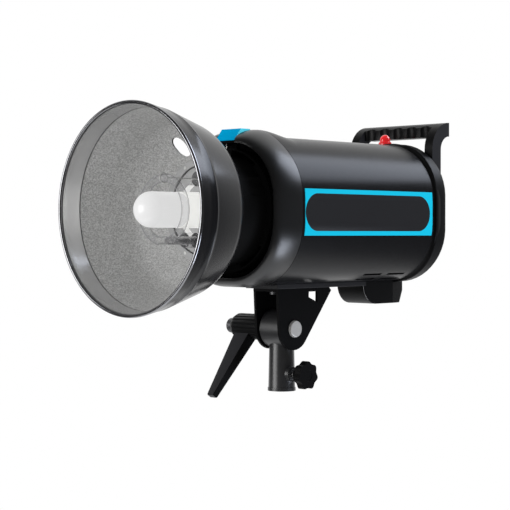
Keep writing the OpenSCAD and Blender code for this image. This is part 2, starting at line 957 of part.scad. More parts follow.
// Front shell: nose with a hood on top and a chin below
function fade(u) = u <= 0 ? 1 : u >= 1 ? 0 : 0.5 + 0.5 * cos(180 * u);
function hood_side(x) = fade((abs(x) - hood_flat) / (hood_half_w - hood_flat));
function nose_ring(t) = [
    for (p = rounded_points(mouth_half + (half - mouth_half) * sin(t), corner_r - mouth_round * cos(t)))
        [
            p[0],
            seam_y - nose_l * cos(t),
            p[1] + (p[1] > 0 ? hood_rise * sin(t) : -chin_drop * sin(2 * t)) * hood_side(p[0])
        ]
];
function tail_ring(y, share, s) =
    let (
        n = corner_steps,
        line = rounded_points(half + run, corner_r + run),
        first = n / 2,
        last = first + n + 1
    )
    concat(
        [for (i = [first:last]) let (x = line[i][0])
            [x, y, line[i][1] + share * (tail_edge + (hood_rise - tail_edge) * hood_side(x) * fade(s))]],
        [for (i = [last:-1:first]) [line[i][0], y, line[i][1]]]
    );
module hood_tail() {
    loft(concat(
        [tail_ring(seam_y - over, 0.5, 0)],
        [
            for (k = [0:tail_steps])
                let (s = k / tail_steps)
                tail_ring(seam_y + gap + (hood_tail_l - gap) * s, 1, s)
        ]
    ));
}
module umbrella_way(r) {
    at_xz(-umbrella_x, umbrella_z) rod_y(r, front_y - over, seam_y + spigot_l + over);
}
module front_shell() {
    umbrella_r = umbrella_bore_d / 2 + umbrella_wall;
    color([0.14, 0.14, 0.15])
    head() {
        difference() {
            union() {
                loft([for (k = [0:nose_steps]) nose_ring(90 * k / nose_steps)]);
                hood_tail();
                rounded_prism(inner_half - 2 * slip, inner_r - 2 * slip, seam_y - over, seam_y + spigot_l);
            }
            rounded_prism(recess_half, recess_r, front_y - over, flange_end_y);
            rod_y(bulkhead_r, front_y, seam_y);
            rounded_prism(recess_half, recess_r, bulkhead_end_y, seam_y + spigot_l + over);
            block(-slider_w / 2 - gap, slider_w / 2 + gap,
                  front_y - over, slider_end_y + slider_travel + gap,
                  slider_floor, half + 2 * hood_rise);
            block(-stem_w / 2 - gap, stem_w / 2 + gap, stem_y - gap, stem_y + stem_l + slider_travel + gap,
                  stem_z - gap, slider_floor + over);
            block(-stem_w / 2 - gap, stem_w / 2 + gap, stem_y - gap, spring_seat_y,
                  stem_z - gap, slider_spring_z + release_spring_d / 2 + gap);
            umbrella_way(umbrella_r + slip);
            for (x = [-flange_screw, flange_screw], z = [-flange_screw, flange_screw])
                at_xz(x, z) rod_y(panel_screw_d / 2 + slip, flange_end_y - over, bulkhead_end_y + over);
        }
        block(-stem_w / 2, stem_w / 2, spring_seat_y, spring_seat_y + spring_seat_t,
              slider_spring_z - release_spring_d / 2, recess_half + over);
    }
}

// Mount ring with three entries for the lugs
module sector(r, a0, a1) {
    polygon(concat([[0, 0]], arc(0, 0, r, a0, a1, sector_steps)));
}
module mount_ring() {
    color([0.16, 0.16, 0.17])
    head()
        difference() {
            union() {
                pipe_y(ring_wall_r + ring_wall, ring_bore_r, ring_y, ring_end_y);
                pipe_y(ring_wall_r + ring_wall, ring_wall_r, ring_y, flange_y);
                rounded_prism(recess_half - gap, recess_r - gap, flange_y, flange_end_y);
            }
            rod_y(base_r + gap, flange_y - over, flange_end_y + over);
            for (i = [0:lug_count - 1])
                along_y(ring_y - over, ring_end_y + over)
                    intersection() {
                        circle(ring_wall_r);
                        rotate(lug_first + lug_entry + 360 / lug_count * i)
                            sector(2 * ring_wall_r, -entry_angle / 2, entry_angle / 2);
                    }
            block(-stem_w / 2 - gap, stem_w / 2 + gap, stem_y - gap, flange_end_y + over,
                  stem_z - gap, half);
            umbrella_way(umbrella_bore_d / 2 + umbrella_wall + slip);
            for (x = [-flange_screw, flange_screw], z = [-flange_screw, flange_screw])
                at_xz(x, z) rod_y(panel_screw_d / 2 + slip, flange_y - over, flange_end_y + over);
        }
}
module screw_y(y_head, turn) {
    translate([0, y_head, 0])
        rotate([turn, 0, 0]) {
            rod_y(panel_screw_head_d / 2, -panel_screw_head_t, 0);
            rod_y(panel_screw_d / 2, -panel_screw_head_t, panel_screw_l);
        }
}
module small_screws() {
    color("gray")
    head() {
        for (x = [-flange_screw, flange_screw], z = [-flange_screw, flange_screw])
            at_xz(x, z) screw_y(flange_y, 0);
        for (x = [-panel_screw_x, panel_screw_x], z = [-panel_screw_z, panel_screw_z])
            at_xz(x, z) screw_y(panel_end_y, 180);
    }
}
module umbrella_tube() {
    color("gray")
    head()
        at_xz(-umbrella_x, umbrella_z)
            pipe_y(umbrella_bore_d / 2 + umbrella_wall, umbrella_bore_d / 2,
                   umbrella_y, umbrella_y + umbrella_l);
}

// Lamp base, modelling lamp and flash tube
module lamp_base() {
    color([0.1, 0.1, 0.1])
    head()
        difference() {
            union() {
                rod_y(base_r, base_front_y, bulkhead_end_y);
                rod_y(base_flange_r, flange_end_y, bulkhead_end_y);
            }
            rod_y(base_r - base_wall, base_front_y + base_wall, bulkhead_end_y + over);
            rod_y(holder_r + slip, base_front_y - over, bulkhead_end_y);
        }
}
module lamp_plate() {
    color("silver")
    head() pipe_y(plate_r, holder_r + slip, plate_y, base_front_y);
}
module lamp_holder() {
    color("white")
    head()
        difference() {
            union() {
                rod_y(holder_r, base_front_y, base_front_y + holder_l);
                rod_y(holder_flange_r,
                      base_front_y + base_wall, base_front_y + base_wall + holder_flange_t);
            }
            rod_y(holder_r - holder_wall, base_front_y - over, base_front_y + holder_l - holder_wall);
        }
}
module lamp_glass() {
    color([0.95, 0.95, 0.93])
    head()
        difference() {
            union() {
                translate([0, glass_y + lamp_r, 0]) sphere(lamp_r);
                rod_y(lamp_r, glass_y + lamp_r, collar_y);
            }
            translate([0, glass_y + lamp_r, 0]) sphere(lamp_r - glass_t);
            rod_y(lamp_r - glass_t, glass_y + lamp_r, collar_y + over);
        }
}
module lamp_collar() {
    color("white")
    head() rod_y(lamp_r + collar_proud, collar_y, collar_end_y);
}
module lamp_cap() {
    color("silver")
    head() {
        rod_y(cap_d / 2, collar_end_y, collar_end_y + cap_l);
        cone_y(cap_d / 2 - cap_step, cap_tip_r,
               collar_end_y + cap_l, base_front_y + holder_l - holder_wall);
    }
}
module flash_tube() {
    color([0.85, 0.9, 0.92])
    head() {
        translate([0, tube_y, 0])
            rotate([90, 0, 0])
                rotate([0, 0, leg_angle - 90])
                    rotate_extrude(angle = 360 - 2 * leg_angle)
                        translate([tube_ring_d / 2, 0]) circle(d = tube_d);
        for (x = [-leg_gap / 2, leg_gap / 2])
            translate([x, tube_y, leg_z]) {
                sphere(d = tube_d + 2 * tube_bulge);
                rod_y(tube_d / 2, 0, tube_reach - over);
            }
    }
}
module tube_sockets() {
    color("gainsboro")
    head() {
        for (x = [-leg_gap / 2, leg_gap / 2])
            at_xz(x, leg_z) pipe_y(tube_socket_r, tube_d / 2 + slip, plate_y - tube_socket_l, plate_y);
        at_xz(0, tube_ring_d / 2) {
            rod_y(tube_socket_r, plate_y - tube_socket_l / 2, plate_y);
            rod_y(post_wire_d / 2, tube_y + post_ring_r, plate_y - tube_socket_l / 2);
            translate([0, tube_y, 0])
                rotate([0, 90, 0])
                    rotate_extrude() translate([post_ring_r, 0]) circle(d = post_wire_d);
        }
    }
}

// Reflector
function bowl_profile(t) = concat(
    [[rim_d / 2 - t, 0], [crease_d / 2 - t, band_l]],
    [
        for (i = [0:shoulder_steps])
            let (a = flare_angle + (back_angle - flare_angle) * i / shoulder_steps, r = shoulder_r - t)
            [shoulder_c + r * cos(a), shoulder_y + r * sin(a)]
    ],
    [[neck_r, neck_y - t]]
);
module reflector_bowl() {
    a = atan2(umbrella_z, -umbrella_x);
    bead_r = bead_d / 2;
    color([0.13, 0.13, 0.14])
    head()
        difference() {
            translate([0, rim_y, 0])
                rotate([-90, 0, 0]) {
                    rotate_extrude()
                        polygon(concat(
                            bowl_profile(0),
                            [[neck_bore_r, neck_y], [neck_bore_r, neck_y - bowl_sheet]],
                            reversed(bowl_profile(bowl_sheet))
                        ));
                    rotate_extrude() translate([rim_d / 2 - bead_r, bead_r / 2]) circle(bead_r);
                }
            at_xz(-umbrella_x, umbrella_z)
                rotate([0, -a, 0]) {
                    for (u = [0, umbrella_hole_l])
                        at_xz(u - umbrella_hole_in, 0) rod_y(umbrella_hole_r, rim_y, back_y);
                    block(-umbrella_hole_in, umbrella_hole_l - umbrella_hole_in, rim_y, back_y,
                          -umbrella_hole_r, umbrella_hole_r);
                }
            rivet_places() rod_y(rivet_d / 2, back_y - 2 * bowl_sheet, back_y + over);
        }
}
module bayonet_ring() {
    color([0.1, 0.1, 0.1])
    head()
        difference() {
            union() {
                rod_y(bayonet_r, back_y, lug_end_y);
                for (i = [0:lug_count - 1])
                    along_y(lug_y, lug_end_y)
                        intersection() {
                            circle(bayonet_r + lug_h);
                            rotate(lug_first + 360 / lug_count * i)
                                sector(2 * bayonet_r, -lug_angle / 2, lug_angle / 2);
                        }
            }
            rod_y(bayonet_r - bayonet_wall, back_y + ring_flange_t, lug_end_y + over);
            rod_y(neck_bore_r, back_y - over, lug_end_y);
            rivet_places() rod_y(rivet_d / 2, back_y - over, back_y + ring_flange_t + over);
        }
}
module rivet_places() {
    r = (neck_bore_r + neck_r) / 2;
    for (i = [0:rivet_count - 1])
        rotate([0, 360 / rivet_count * i, 0]) translate([r, 0, 0]) children();
}
module ring_rivets() {
    color("silver")
    head()
        rivet_places() {
            rod_y(rivet_d / 2, back_y - bowl_sheet, back_y + ring_flange_t + rivet_head_t);
            rod_y(rivet_head_d / 2, back_y + ring_flange_t, back_y + ring_flange_t + rivet_head_t);
        }
}

// Release slider with its stem, and the lock pin in the stem
module release_slider() {
    color("deepskyblue")
    head()
        difference() {
            union() {
                along_x(-slider_w / 2, slider_w / 2)
                    polygon([
                        [slider_y, slider_z], [slider_end_y, slider_z], [slider_end_y, slider_top],
                        [slider_y + slider_slope, slider_top]
                    ]);
                block(-stem_w / 2, stem_w / 2, stem_y, stem_y + stem_l, stem_z, slider_z + over);
            }
            at_xz(0, pin_z) rod_y(pin_d / 2, stem_y - over, stem_y + stem_l / 2);
        }
}
module lock_pin() {
    color("silver")
    head() at_xz(0, pin_z) rod_y(pin_d / 2, lug_end_y + pin_short, stem_y + stem_l / 2);
}
module release_spring() {
    color("silver")
    head()
        at_xz(0, slider_spring_z)
            pipe_y(release_spring_d / 2, release_spring_d / 2 - spring_wire,
                   stem_y + stem_l + slip, spring_seat_y - slip);
}

// Tilt lever with its nut, screw and spring
module clamp_nut() {
    color("gray")
    translate([0, 0, pivot_h]) pipe_x(nut_r, bolt_r + run, -nut_end, -lever_start);
}
module lever_screw() {
    color("darkgray")
    translate([0, 0, pivot_h]) {
        rod_x(lever_screw_r, -screw_head_start, -bolt_end - gap);
        cone_x(screw_head_r - screw_head_bevel, screw_head_r,
               -screw_head_end, -screw_head_end + screw_head_bevel);
        rod_x(screw_head_r, -screw_head_end + screw_head_bevel, -screw_head_start);
    }
}
module lever_spring() {
    color("silver")
    translate([0, 0, pivot_h])
        pipe_x(lever_screw_r + hub_clear + lever_spring_wire, lever_screw_r + hub_clear,
               -lever_spring_start - lever_spring_l, -lever_spring_start);
}
module lever_arm() {
    root_z = arm_sunk - hub_d / 2;
    hull() {
        block(-arm_root_x - arm_root_w / 2, -arm_root_x + arm_root_w / 2,
              -arm_root_t / 2, arm_root_t / 2, root_z, root_z + arm_round);
        block(-arm_tip_x - arm_tip_w / 2, -arm_tip_x + arm_tip_w / 2,
              -arm_tip_t / 2 + arm_round, arm_tip_t / 2 - arm_round, -arm_reach, -arm_reach + arm_round);
        block(-arm_tip_x - arm_tip_w / 2, -arm_tip_x + arm_tip_w / 2,
              -arm_tip_t / 2, arm_tip_t / 2, -arm_reach + arm_round, -arm_reach + 2 * arm_round);
    }
}
module tilt_lever() {
    hub_end = lever_start + hub_l;
    color([0.06, 0.06, 0.06])
    translate([0, 0, pivot_h])
        rotate([-arm_angle, 0, 0])
            difference() {
                union() {
                    rod_x(hub_d / 2, -hub_end + hub_bevel, -lever_start);
                    cone_x(hub_d / 2 - hub_bevel / 2, hub_d / 2, -hub_end, -hub_end + hub_bevel);
                    lever_arm();
                }
                rod_x(nut_r + run, -lever_wall, -lever_start + over);
                rod_x(lever_screw_r + gap, -hub_end - over, 0);
                rod_x(hub_cavity_r, -hub_end - over, -lever_wall - lever_wall_t);
                for (i = [0:hub_grooves - 1])
                    rotate([360 / hub_grooves * i, 0, 0])
                        translate([0, 0, hub_d / 2])
                            rod_x(hub_groove_r, -hub_end - over, -lever_start - hub_groove_end);
            }
}

// Rear bezel and handle
function bezel_ring(h, r, y, bow) = [
    for (p = rounded_points(h, r)) [p[0], y + bow * (1 - pow(p[1] / h, 2)), p[1]]
];
module bezel_form() {
    h = half + bezel_swell;
    edge_y = rear_y + groove_w;
    loft(concat(
        [bezel_ring(half - groove_d, corner_r - groove_d, rear_y + slip, 0)],
        [bezel_ring(half - groove_d, corner_r - groove_d, edge_y, 0)],
        [bezel_ring(h - bezel_edge, bezel_r - bezel_edge, edge_y + slip, 0)],
        [bezel_ring(h, bezel_r, edge_y + bezel_edge, 0)],
        [
            for (a = [0:15:90])
                let (in = bezel_round * (1 - cos(a)))
                bezel_ring(h - in, bezel_r - in / 2, bezel_end_y - bezel_round * (1 - sin(a)), bezel_bow)
        ],
        [bezel_ring(panel_half, panel_r, bezel_end_y, bezel_bow)],
        [bezel_ring(panel_half / 2, panel_r / 2, panel_end_y, 0)]
    ));
}
module rear_bezel() {
    color([0.14, 0.14, 0.15])
    head()
        difference() {
            union() {
                bezel_form();
                rounded_prism(inner_half - 2 * slip, inner_r - 2 * slip,
                              rear_y - spigot_l, rear_y + groove_w);
            }
            rounded_prism(panel_half - ledge_w, panel_r - ledge_w, rear_y, panel_y + over);
            rounded_prism(panel_half + slip, panel_r + slip, panel_y, bezel_end_y + 2 * bezel_bow);
            for (x = [-handle_out - gap, handle_in - gap])
                block(x, x + handle_arm_w + 2 * gap, bezel_end_y, bezel_end_y + 2 * bezel_bow,
                      handle_c_z - handle_leg - gap, 2 * half);
            rounded_prism(inner_half - shell_wall, inner_r - shell_wall,
                          rear_y - spigot_l - over, panel_y - ledge_t);
            translate([0, dome_y, half / 2]) cylinder(r = dome_stem_r + slip, h = half);
            translate([0, dome_y, dome_seat]) cylinder(r = dome_d / 2 + slip, h = half);
            for (x = [-panel_screw_x, panel_screw_x], z = [-panel_screw_z, panel_screw_z])
                at_xz(x, z) rod_y(panel_screw_d / 2 + slip, panel_y - panel_screw_l, panel_y + over);
        }
}
module handle_bend(t) {
    r = handle_r - t;
    polygon(concat(
        arc(handle_c_y, handle_c_z, handle_r, 90, 180, corner_steps),
        [[bezel_end_y, handle_c_z - handle_leg], [bezel_end_y + t, handle_c_z - handle_leg]],
        arc(handle_c_y, handle_c_z, r, 180, 90, corner_steps)
    ));
}
module carry_handle() {
    pitch = 2 * handle_in / flute_count;
    color([0.08, 0.08, 0.08])
    head()
        difference() {
            union() {
                for (x = [-handle_out, handle_in]) {
                    along_x(x, x + handle_arm_w) handle_bend(handle_t);
                    block(x, x + handle_arm_w, panel_end_y, bezel_end_y + over,
                          handle_c_z - handle_leg, handle_c_z - handle_foot_top);
                }
                along_x(-handle_in, handle_in)
                    intersection() {
                        handle_bend(handle_t + grip_extra);
                        translate([handle_c_y - grip_front, handle_c_z + grip_rise]) square(2 * handle_r);
                    }
            }
            for (i = [0:flute_count - 1])
                translate([-handle_in + pitch * (i + 0.5), flute_y, handle_c_z])
                    cylinder(r = flute_r, h = 2 * handle_r);
            for (side = [-1, 1])
                at_xz(side * handle_screw_x, handle_screw_z) {
                    rod_y(handle_screw_d / 2 + slip, panel_end_y - over, handle_c_y);
                    rod_y(handle_screw_head_d / 2 + slip,
                          bezel_end_y + handle_t - handle_screw_head_t, handle_c_y);
                }
        }
}
module handle_screws() {
    y = bezel_end_y + handle_t - handle_screw_head_t;
    color("dimgray")
    head()
        for (side = [-1, 1])
            at_xz(side * handle_screw_x, handle_screw_z)
                difference() {
                    union() {
                        rod_y(handle_screw_d / 2, panel_y - handle_screw_in, y);
                        rod_y(handle_screw_head_d / 2, y, y + handle_screw_head_t - handle_screw_sunk);
                    }
                    translate([0, y + handle_hex_floor, 0])
                        rotate([-90, 0, 0])
                            cylinder(d = handle_hex_w, h = handle_screw_head_t, $fn = 6);
                }
}
module slave_cell() {
    color("red")
    head()
        translate([0, dome_y, 0]) {
            translate([0, 0, dome_seat]) cylinder(d = dome_d, h = dome_sunk + dome_flange_t);
            translate([0, 0, dome_seat]) cylinder(r = dome_r, h = dome_mid - dome_seat);
            translate([0, 0, dome_seat - dome_stem_l]) cylinder(r = dome_stem_r, h = dome_stem_l);
            translate([0, 0, dome_mid])
                rotate_extrude() polygon(concat([[0, 0]], arc(0, 0, dome_r, 0, 90, corner_steps)));
        }
}

// Rear panel and its controls
module button_place(i) { at_xz((i - 1.5) * button_pitch, button_row_z) children(); }
module control_panel() {
    color([0.2, 0.2, 0.22])
    head()
        difference() {
            rounded_prism(panel_half, panel_r, panel_y, panel_end_y);
            block(-display_w / 2 - slip, display_w / 2 + slip, panel_end_y - window_t, panel_end_y + over,
                  display_z - display_h / 2 - slip, display_z + display_h / 2 + slip);
            for (i = [0:3])
                button_place(i)
                    block(-button_w / 2 - gap, button_w / 2 + gap, panel_y - over, panel_end_y + over,
                          -button_h / 2 - gap, button_h / 2 + gap);
            at_xz(dial_x, dial_z) rod_y(dial_shaft_r + run, panel_y - over, panel_end_y + over);
            at_xz(rocker_x, rocker_z)
                block(-rocker_w / 2 - gap, rocker_w / 2 + gap, panel_y - over, panel_end_y + over,
                      -rocker_r - gap, rocker_r + gap);
            at_xz(inlet_x, inlet_z)
                block(-inlet_w / 2 - slip, inlet_w / 2 + slip, panel_y - over, panel_end_y + over,
                      -inlet_h / 2 - slip, inlet_h / 2 + slip);
            at_xz(fuse_x, fuse_z) rod_y(fuse_body_r + slip, panel_y - over, panel_end_y + over);
            for (side = [-1, 1])
                at_xz(side * handle_screw_x, handle_screw_z)
                    rod_y(handle_screw_d / 2 + slip, panel_y - over, panel_end_y + over);
            at_xz(sync_x, sync_z) rod_y(sync_r + slip, panel_y - over, panel_end_y + over);
            for (x = [-panel_screw_x, panel_screw_x], z = [-panel_screw_z, panel_screw_z])
                at_xz(x, z) rod_y(panel_screw_d / 2 + slip, panel_y - over, panel_end_y + over);
        }
}
module display_window() {
    color([0.25, 0.05, 0.05])
    head()
        block(-display_w / 2, display_w / 2, panel_end_y - window_t, panel_end_y,
              display_z - display_h / 2, display_z + display_h / 2);
}
module mains_inlet() {
    y0 = panel_end_y + inlet_flange_t - inlet_depth;
    w = inlet_w / 2;
    h = inlet_h / 2;
    color([0.07, 0.07, 0.07])
    head()
        at_xz(inlet_x, inlet_z) {
            difference() {
                union() {
                    block(-w, w, y0, panel_end_y, -h, h);
                    block(-w - inlet_flange, w + inlet_flange, panel_end_y, panel_end_y + inlet_flange_t,
                          -h - inlet_flange, h + inlet_flange);
                }
                block(-w + inlet_wall, w - inlet_wall, y0 + inlet_wall, panel_end_y + inlet_flange_t + over,
                      -h + inlet_wall, h - inlet_wall);
            }
            for (i = [-1:1])
                block(i * inlet_pin_pitch - inlet_pin_w / 2, i * inlet_pin_pitch + inlet_pin_w / 2,
                      y0 + inlet_wall, y0 + inlet_wall + inlet_pin_l, -inlet_pin_h / 2, inlet_pin_h / 2);
        }
}
module fuse_cap() {
    color([0.07, 0.07, 0.07])
    head()
        at_xz(fuse_x, fuse_z)
            difference() {
                union() {
                    rod_y(fuse_body_r, panel_end_y - fuse_body_l, panel_end_y);
                    rod_y(fuse_r, panel_end_y, panel_end_y + fuse_l);
                }
                block(-fuse_r, fuse_r, panel_end_y + fuse_l - fuse_slot, panel_end_y + fuse_l + over,
                      -fuse_slot / 2, fuse_slot / 2);
            }
}
module sync_socket() {
    color("silver")
    head()
        at_xz(sync_x, sync_z)
            difference() {
                union() {
                    rod_y(sync_r, panel_end_y + sync_nut_t - sync_l - sync_floor, panel_end_y + sync_nut_t);
                    rod_y(sync_nut_r, panel_end_y, panel_end_y + sync_nut_t);
                }
                rod_y(sync_bore_r, panel_end_y + sync_nut_t - sync_l, panel_end_y + sync_nut_t + over);
            }
}
module power_dial() {
    y0 = panel_end_y + dial_clear;
    color([0.09, 0.09, 0.09])
    head()
        at_xz(dial_x, dial_z)
            difference() {
                union() {
                    rod_y(dial_d / 2, y0, y0 + dial_l);
                    rod_y(dial_shaft_r, control_board_y + board_t + gap, y0 + over);
                }
                for (i = [1:dial_grooves - 1])
                    rotate([0, 360 / dial_grooves * i, 0])
                        translate([0, 0, dial_d / 2])
                            rod_y(dial_groove_r, y0 + dial_skirt, y0 + dial_l + over);
                block(-dial_groove_r / 2, dial_groove_r / 2, y0 + dial_l - dial_mark_d, y0 + dial_l + over,
                      dial_d / 6, dial_d);
            }
}
module push_button(i, c) {
    w = button_w / 2;
    h = button_h / 2;
    color(c)
    head()
        button_place(i) {
            block(-w, w, panel_y - button_depth, panel_end_y + button_proud, -h, h);
            block(-w - button_flange, w + button_flange, panel_y - gap - button_flange_t, panel_y - gap,
                  -h - button_flange, h + button_flange);
        }
}
module button_model() { push_button(0, "dimgray"); }
module button_sound() { push_button(1, "dimgray"); }
module button_slave() { push_button(2, "dimgray"); }
module button_test() { push_button(3, "firebrick"); }
module power_rocker() {
    color([0.05, 0.05, 0.05])
    head()
        translate([rocker_x, panel_end_y - panel_t / 2, rocker_z])
            rotate([-rocker_tilt, 0, 0])
                along_x(-rocker_w / 2, rocker_w / 2)
                    intersection() {
                        circle(rocker_r);
                        polygon([
                            [-rocker_front, -rocker_r], [rocker_front, -rocker_r],
                            [rocker_front - rocker_dip, 0],
                            [rocker_front, rocker_r], [-rocker_front, rocker_r]
                        ]);
                    }
}

// Inside
module chassis_tray() {
    color("lightgray")
    head() {
        block(-tray_half_w, tray_half_w, tray_y, tray_end_y, tray_z, tray_top);
        for (x = [-tray_half_w, tray_half_w - tray_t])
            block(x, x + tray_t, tray_y, tray_end_y, tray_z, tray_top + tray_lip);
        for (x = [-tray_leg_x - tray_t, tray_leg_x], y = tray_leg_y)
            block(x, x + tray_t, y, y + tray_leg_l, -inner_half, tray_z);
        for (x = [-board_post_x, board_post_x], y = board_post_y)
            translate([x, y, tray_top]) cylinder(r = board_post_r, h = board_z - tray_top);
    }
}
module capacitors() {
    color("midnightblue")
    head()
        for (x = [-capacitor_x, capacitor_x])
            at_xz(x, tray_top + capacitor_d / 2) {
                rod_y(capacitor_d / 2, capacitor_y, capacitor_y + capacitor_l);
                for (u = [-capacitor_d / 5, capacitor_d / 5])
                    at_xz(u, 0)
                        rod_y(capacitor_stud_r, capacitor_y + capacitor_l,
                              capacitor_y + capacitor_l + capacitor_stud_l);
            }
}
module main_board() {
    color("darkgreen")
    head() {
        block(-board_half_w, board_half_w, board_y, board_end_y, board_z, board_z + board_t);
        for (x = [-coil_x, coil_x])
            translate([x, board_end_y - coil_back, board_z + board_t]) cylinder(r = coil_r, h = coil_h);
    }
}
module transformer() {
    z0 = board_z + board_t;
    w = transformer_w / 2;
    l = transformer_l / 2;
    color("peru")
    head()
        translate([transformer_x, transformer_y, z0]) {
            block(-w, w, -l, l, 0, transformer_h);
            for (y = [-l - winding_over, l])
                block(-w / 2, w / 2, y, y + winding_over, transformer_h / 5, transformer_h * 4 / 5);
        }
}
module fan_frame() {
    w = fan_w / 2;
    color([0.1, 0.1, 0.1])
    head()
        at_xz(0, fan_z)
            difference() {
                union() {
                    difference() {
                        block(-w, w, fan_y, fan_y + fan_t, -w, w);
                        rod_y(fan_r, fan_y - over, fan_y + fan_t + over);
                    }
                    rod_y(fan_hub_r, fan_y, fan_y + fan_plate_t);
                    for (a = [0, 90])
                        rotate([0, a, 0])
                            block(-w, w, fan_y, fan_y + fan_plate_t, -fan_strut / 2, fan_strut / 2);
                }
                rod_y(fan_shaft_r + run, fan_y - over, fan_y + fan_plate_t + over);
            }
}
module fan_rotor() {
    y0 = fan_y + fan_plate_t + gap;
    y1 = fan_y + fan_t - gap;
    mid = (y0 + y1) / 2;
    blade_l = fan_r - blade_gap - fan_hub_r + blade_root;
    color([0.15, 0.15, 0.16])
    head()
        at_xz(0, fan_z) {
            rod_y(fan_hub_r, y0, y1);
            rod_y(fan_shaft_r, fan_y, y0 + over);
            for (i = [0:fan_blades - 1])
                rotate([0, 360 / fan_blades * i, 0])
                    translate([fan_hub_r - blade_root, mid, 0])
                        rotate([fan_pitch, 0, 0])
                            block(0, blade_l, -(y1 - y0) / 2, (y1 - y0) / 2, -fan_blade_t / 2, fan_blade_t / 2);
        }
}
module control_board() {
    z0 = control_board_z[0];
    z1 = control_board_z[1];
    color("darkgreen")
    head() {
        block(-control_post_x - control_post_inset, control_post_x + control_post_inset,
              control_board_y, control_board_y + board_t, z0, z1);
        for (x = [-control_post_x, control_post_x], z = [0, control_post_pitch])
            at_xz(x, z0 + control_post_inset + z) rod_y(control_post_r, control_board_y + board_t, panel_y);
    }
}

// Rear foot under the casing's end and the bezel
module foot_side(t) {
    bottom = -half - foot_h + t;
    y1 = foot_y + foot_l - t;
    polygon(concat(
        [[foot_y + t, -half + foot_h / 4]],
        arc(foot_y + foot_front, -half - foot_h + foot_front, foot_front - t, 180, 270, corner_steps),
        [[y1 - foot_slope, bottom], [y1, bottom + 2 * foot_slope], [y1, -half + foot_h / 4]]
    ));
}
module foot_plan(t) {
    w = foot_w / 2 - t;
    y1 = foot_y + foot_l - t;
    polygon([
        [-w, foot_y + t], [w, foot_y + t], [w, y1 - foot_tail],
        [w - foot_taper, y1], [-w + foot_taper, y1], [-w, y1 - foot_tail]
    ]);
}
module foot_form(t) {
    intersection() {
        along_x(-foot_w, foot_w) foot_side(t);
        translate([0, 0, -half - 2 * foot_h]) linear_extrude(4 * foot_h) foot_plan(t);
    }
}
module rear_foot() {
    color([0.07, 0.07, 0.07])
    head()
        difference() {
            foot_form(0);
            foot_form(foot_wall);
            rounded_prism(half, corner_r, foot_y - over, rear_y + groove_w);
            rounded_prism(half + bezel_swell + slip, bezel_r, rear_y, foot_y + foot_l + over);
        }
}

socket_casting();
clamp_bush();
friction_discs();
clamp_pad();
clamp_stud();
clamp_knob();
tilt_bracket();
bracket_screws();
tilt_bolt();
tilt_washer();
mount_rail();
casing();
front_shell();
mount_ring();
small_screws();
umbrella_tube();
lamp_base();
lamp_plate();
lamp_holder();
lamp_glass();
lamp_collar();
lamp_cap();
flash_tube();
tube_sockets();
release_spring();
side_labels();
label_inlays();
rear_bezel();
carry_handle();
handle_screws();
control_panel();
display_window();
slave_cell();
mains_inlet();
fuse_cap();
sync_socket();
chassis_tray();
capacitors();
main_board();
control_board();
transformer();
fan_frame();
rear_foot();
reflector_bowl();
bayonet_ring();
ring_rivets();
release_slider();
lock_pin();
clamp_nut();
lever_screw();
lever_spring();
tilt_lever();
fan_rotor();
power_dial();
button_model();
button_sound();
button_slave();
button_test();
power_rocker();
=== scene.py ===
"""Looks of the monolight strobe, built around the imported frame. Lengths are in millimetres until mesh()."""

import json
import math

import bmesh
import bpy
from mathutils import Matrix, Vector

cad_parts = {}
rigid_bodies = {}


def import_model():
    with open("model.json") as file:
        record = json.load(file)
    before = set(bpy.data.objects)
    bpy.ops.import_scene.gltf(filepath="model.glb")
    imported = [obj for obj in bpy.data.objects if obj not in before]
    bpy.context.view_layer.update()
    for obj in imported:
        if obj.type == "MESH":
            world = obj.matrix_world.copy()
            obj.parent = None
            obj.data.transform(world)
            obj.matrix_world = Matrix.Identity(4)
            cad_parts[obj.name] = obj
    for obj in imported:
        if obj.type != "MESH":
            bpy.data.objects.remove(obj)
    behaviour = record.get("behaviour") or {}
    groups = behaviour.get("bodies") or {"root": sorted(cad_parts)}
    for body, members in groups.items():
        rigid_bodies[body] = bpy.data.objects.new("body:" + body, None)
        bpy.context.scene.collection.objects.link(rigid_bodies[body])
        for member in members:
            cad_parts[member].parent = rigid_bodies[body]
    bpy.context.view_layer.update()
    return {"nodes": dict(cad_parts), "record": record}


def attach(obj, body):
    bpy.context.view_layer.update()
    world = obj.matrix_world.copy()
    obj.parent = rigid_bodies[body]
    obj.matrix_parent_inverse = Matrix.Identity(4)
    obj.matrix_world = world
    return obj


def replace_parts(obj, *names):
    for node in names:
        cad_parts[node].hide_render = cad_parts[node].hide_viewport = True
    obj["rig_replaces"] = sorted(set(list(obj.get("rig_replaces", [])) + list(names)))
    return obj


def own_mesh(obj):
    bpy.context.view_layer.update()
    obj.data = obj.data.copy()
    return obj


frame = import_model()

NODE_BODY = {n: b for b, ns in frame["record"]["behaviour"]["bodies"].items() for n in ns}
NODE_SLOT = {s["node"]: s["material_slot"] for s in frame["record"]["subparts"]}

# Measures that several pieces share
MM = 0.001
AXIS = 164.0  # height of the light's axis
PIVOT = 57.0  # height of the tilt bolt
HALF, CORNER = 66.5, 56.0  # half the casing's width, and the radius of its corners
RIM, FRONT, SEAM, REAR = -188.0, -75.0, -45.0, 142.0  # bowl's rim, shell's mouth, casing's two ends
PLATE = -100.0  # front of the lamp plate
UMBRELLA = (-16.5, 57.0)  # umbrella tube, across and up from the axis
NECK_BORE = 40.0  # radius of the hole in the bowl's neck


# Materials

GRAIN_DETAIL, SMUDGE_DETAIL = 2.0, 3.0
SMUDGES_PER_M = 14.0
GRAIN_SHARE, SMUDGE_SHARE = 1.2, 0.8
COAT_ROUGH = 0.1


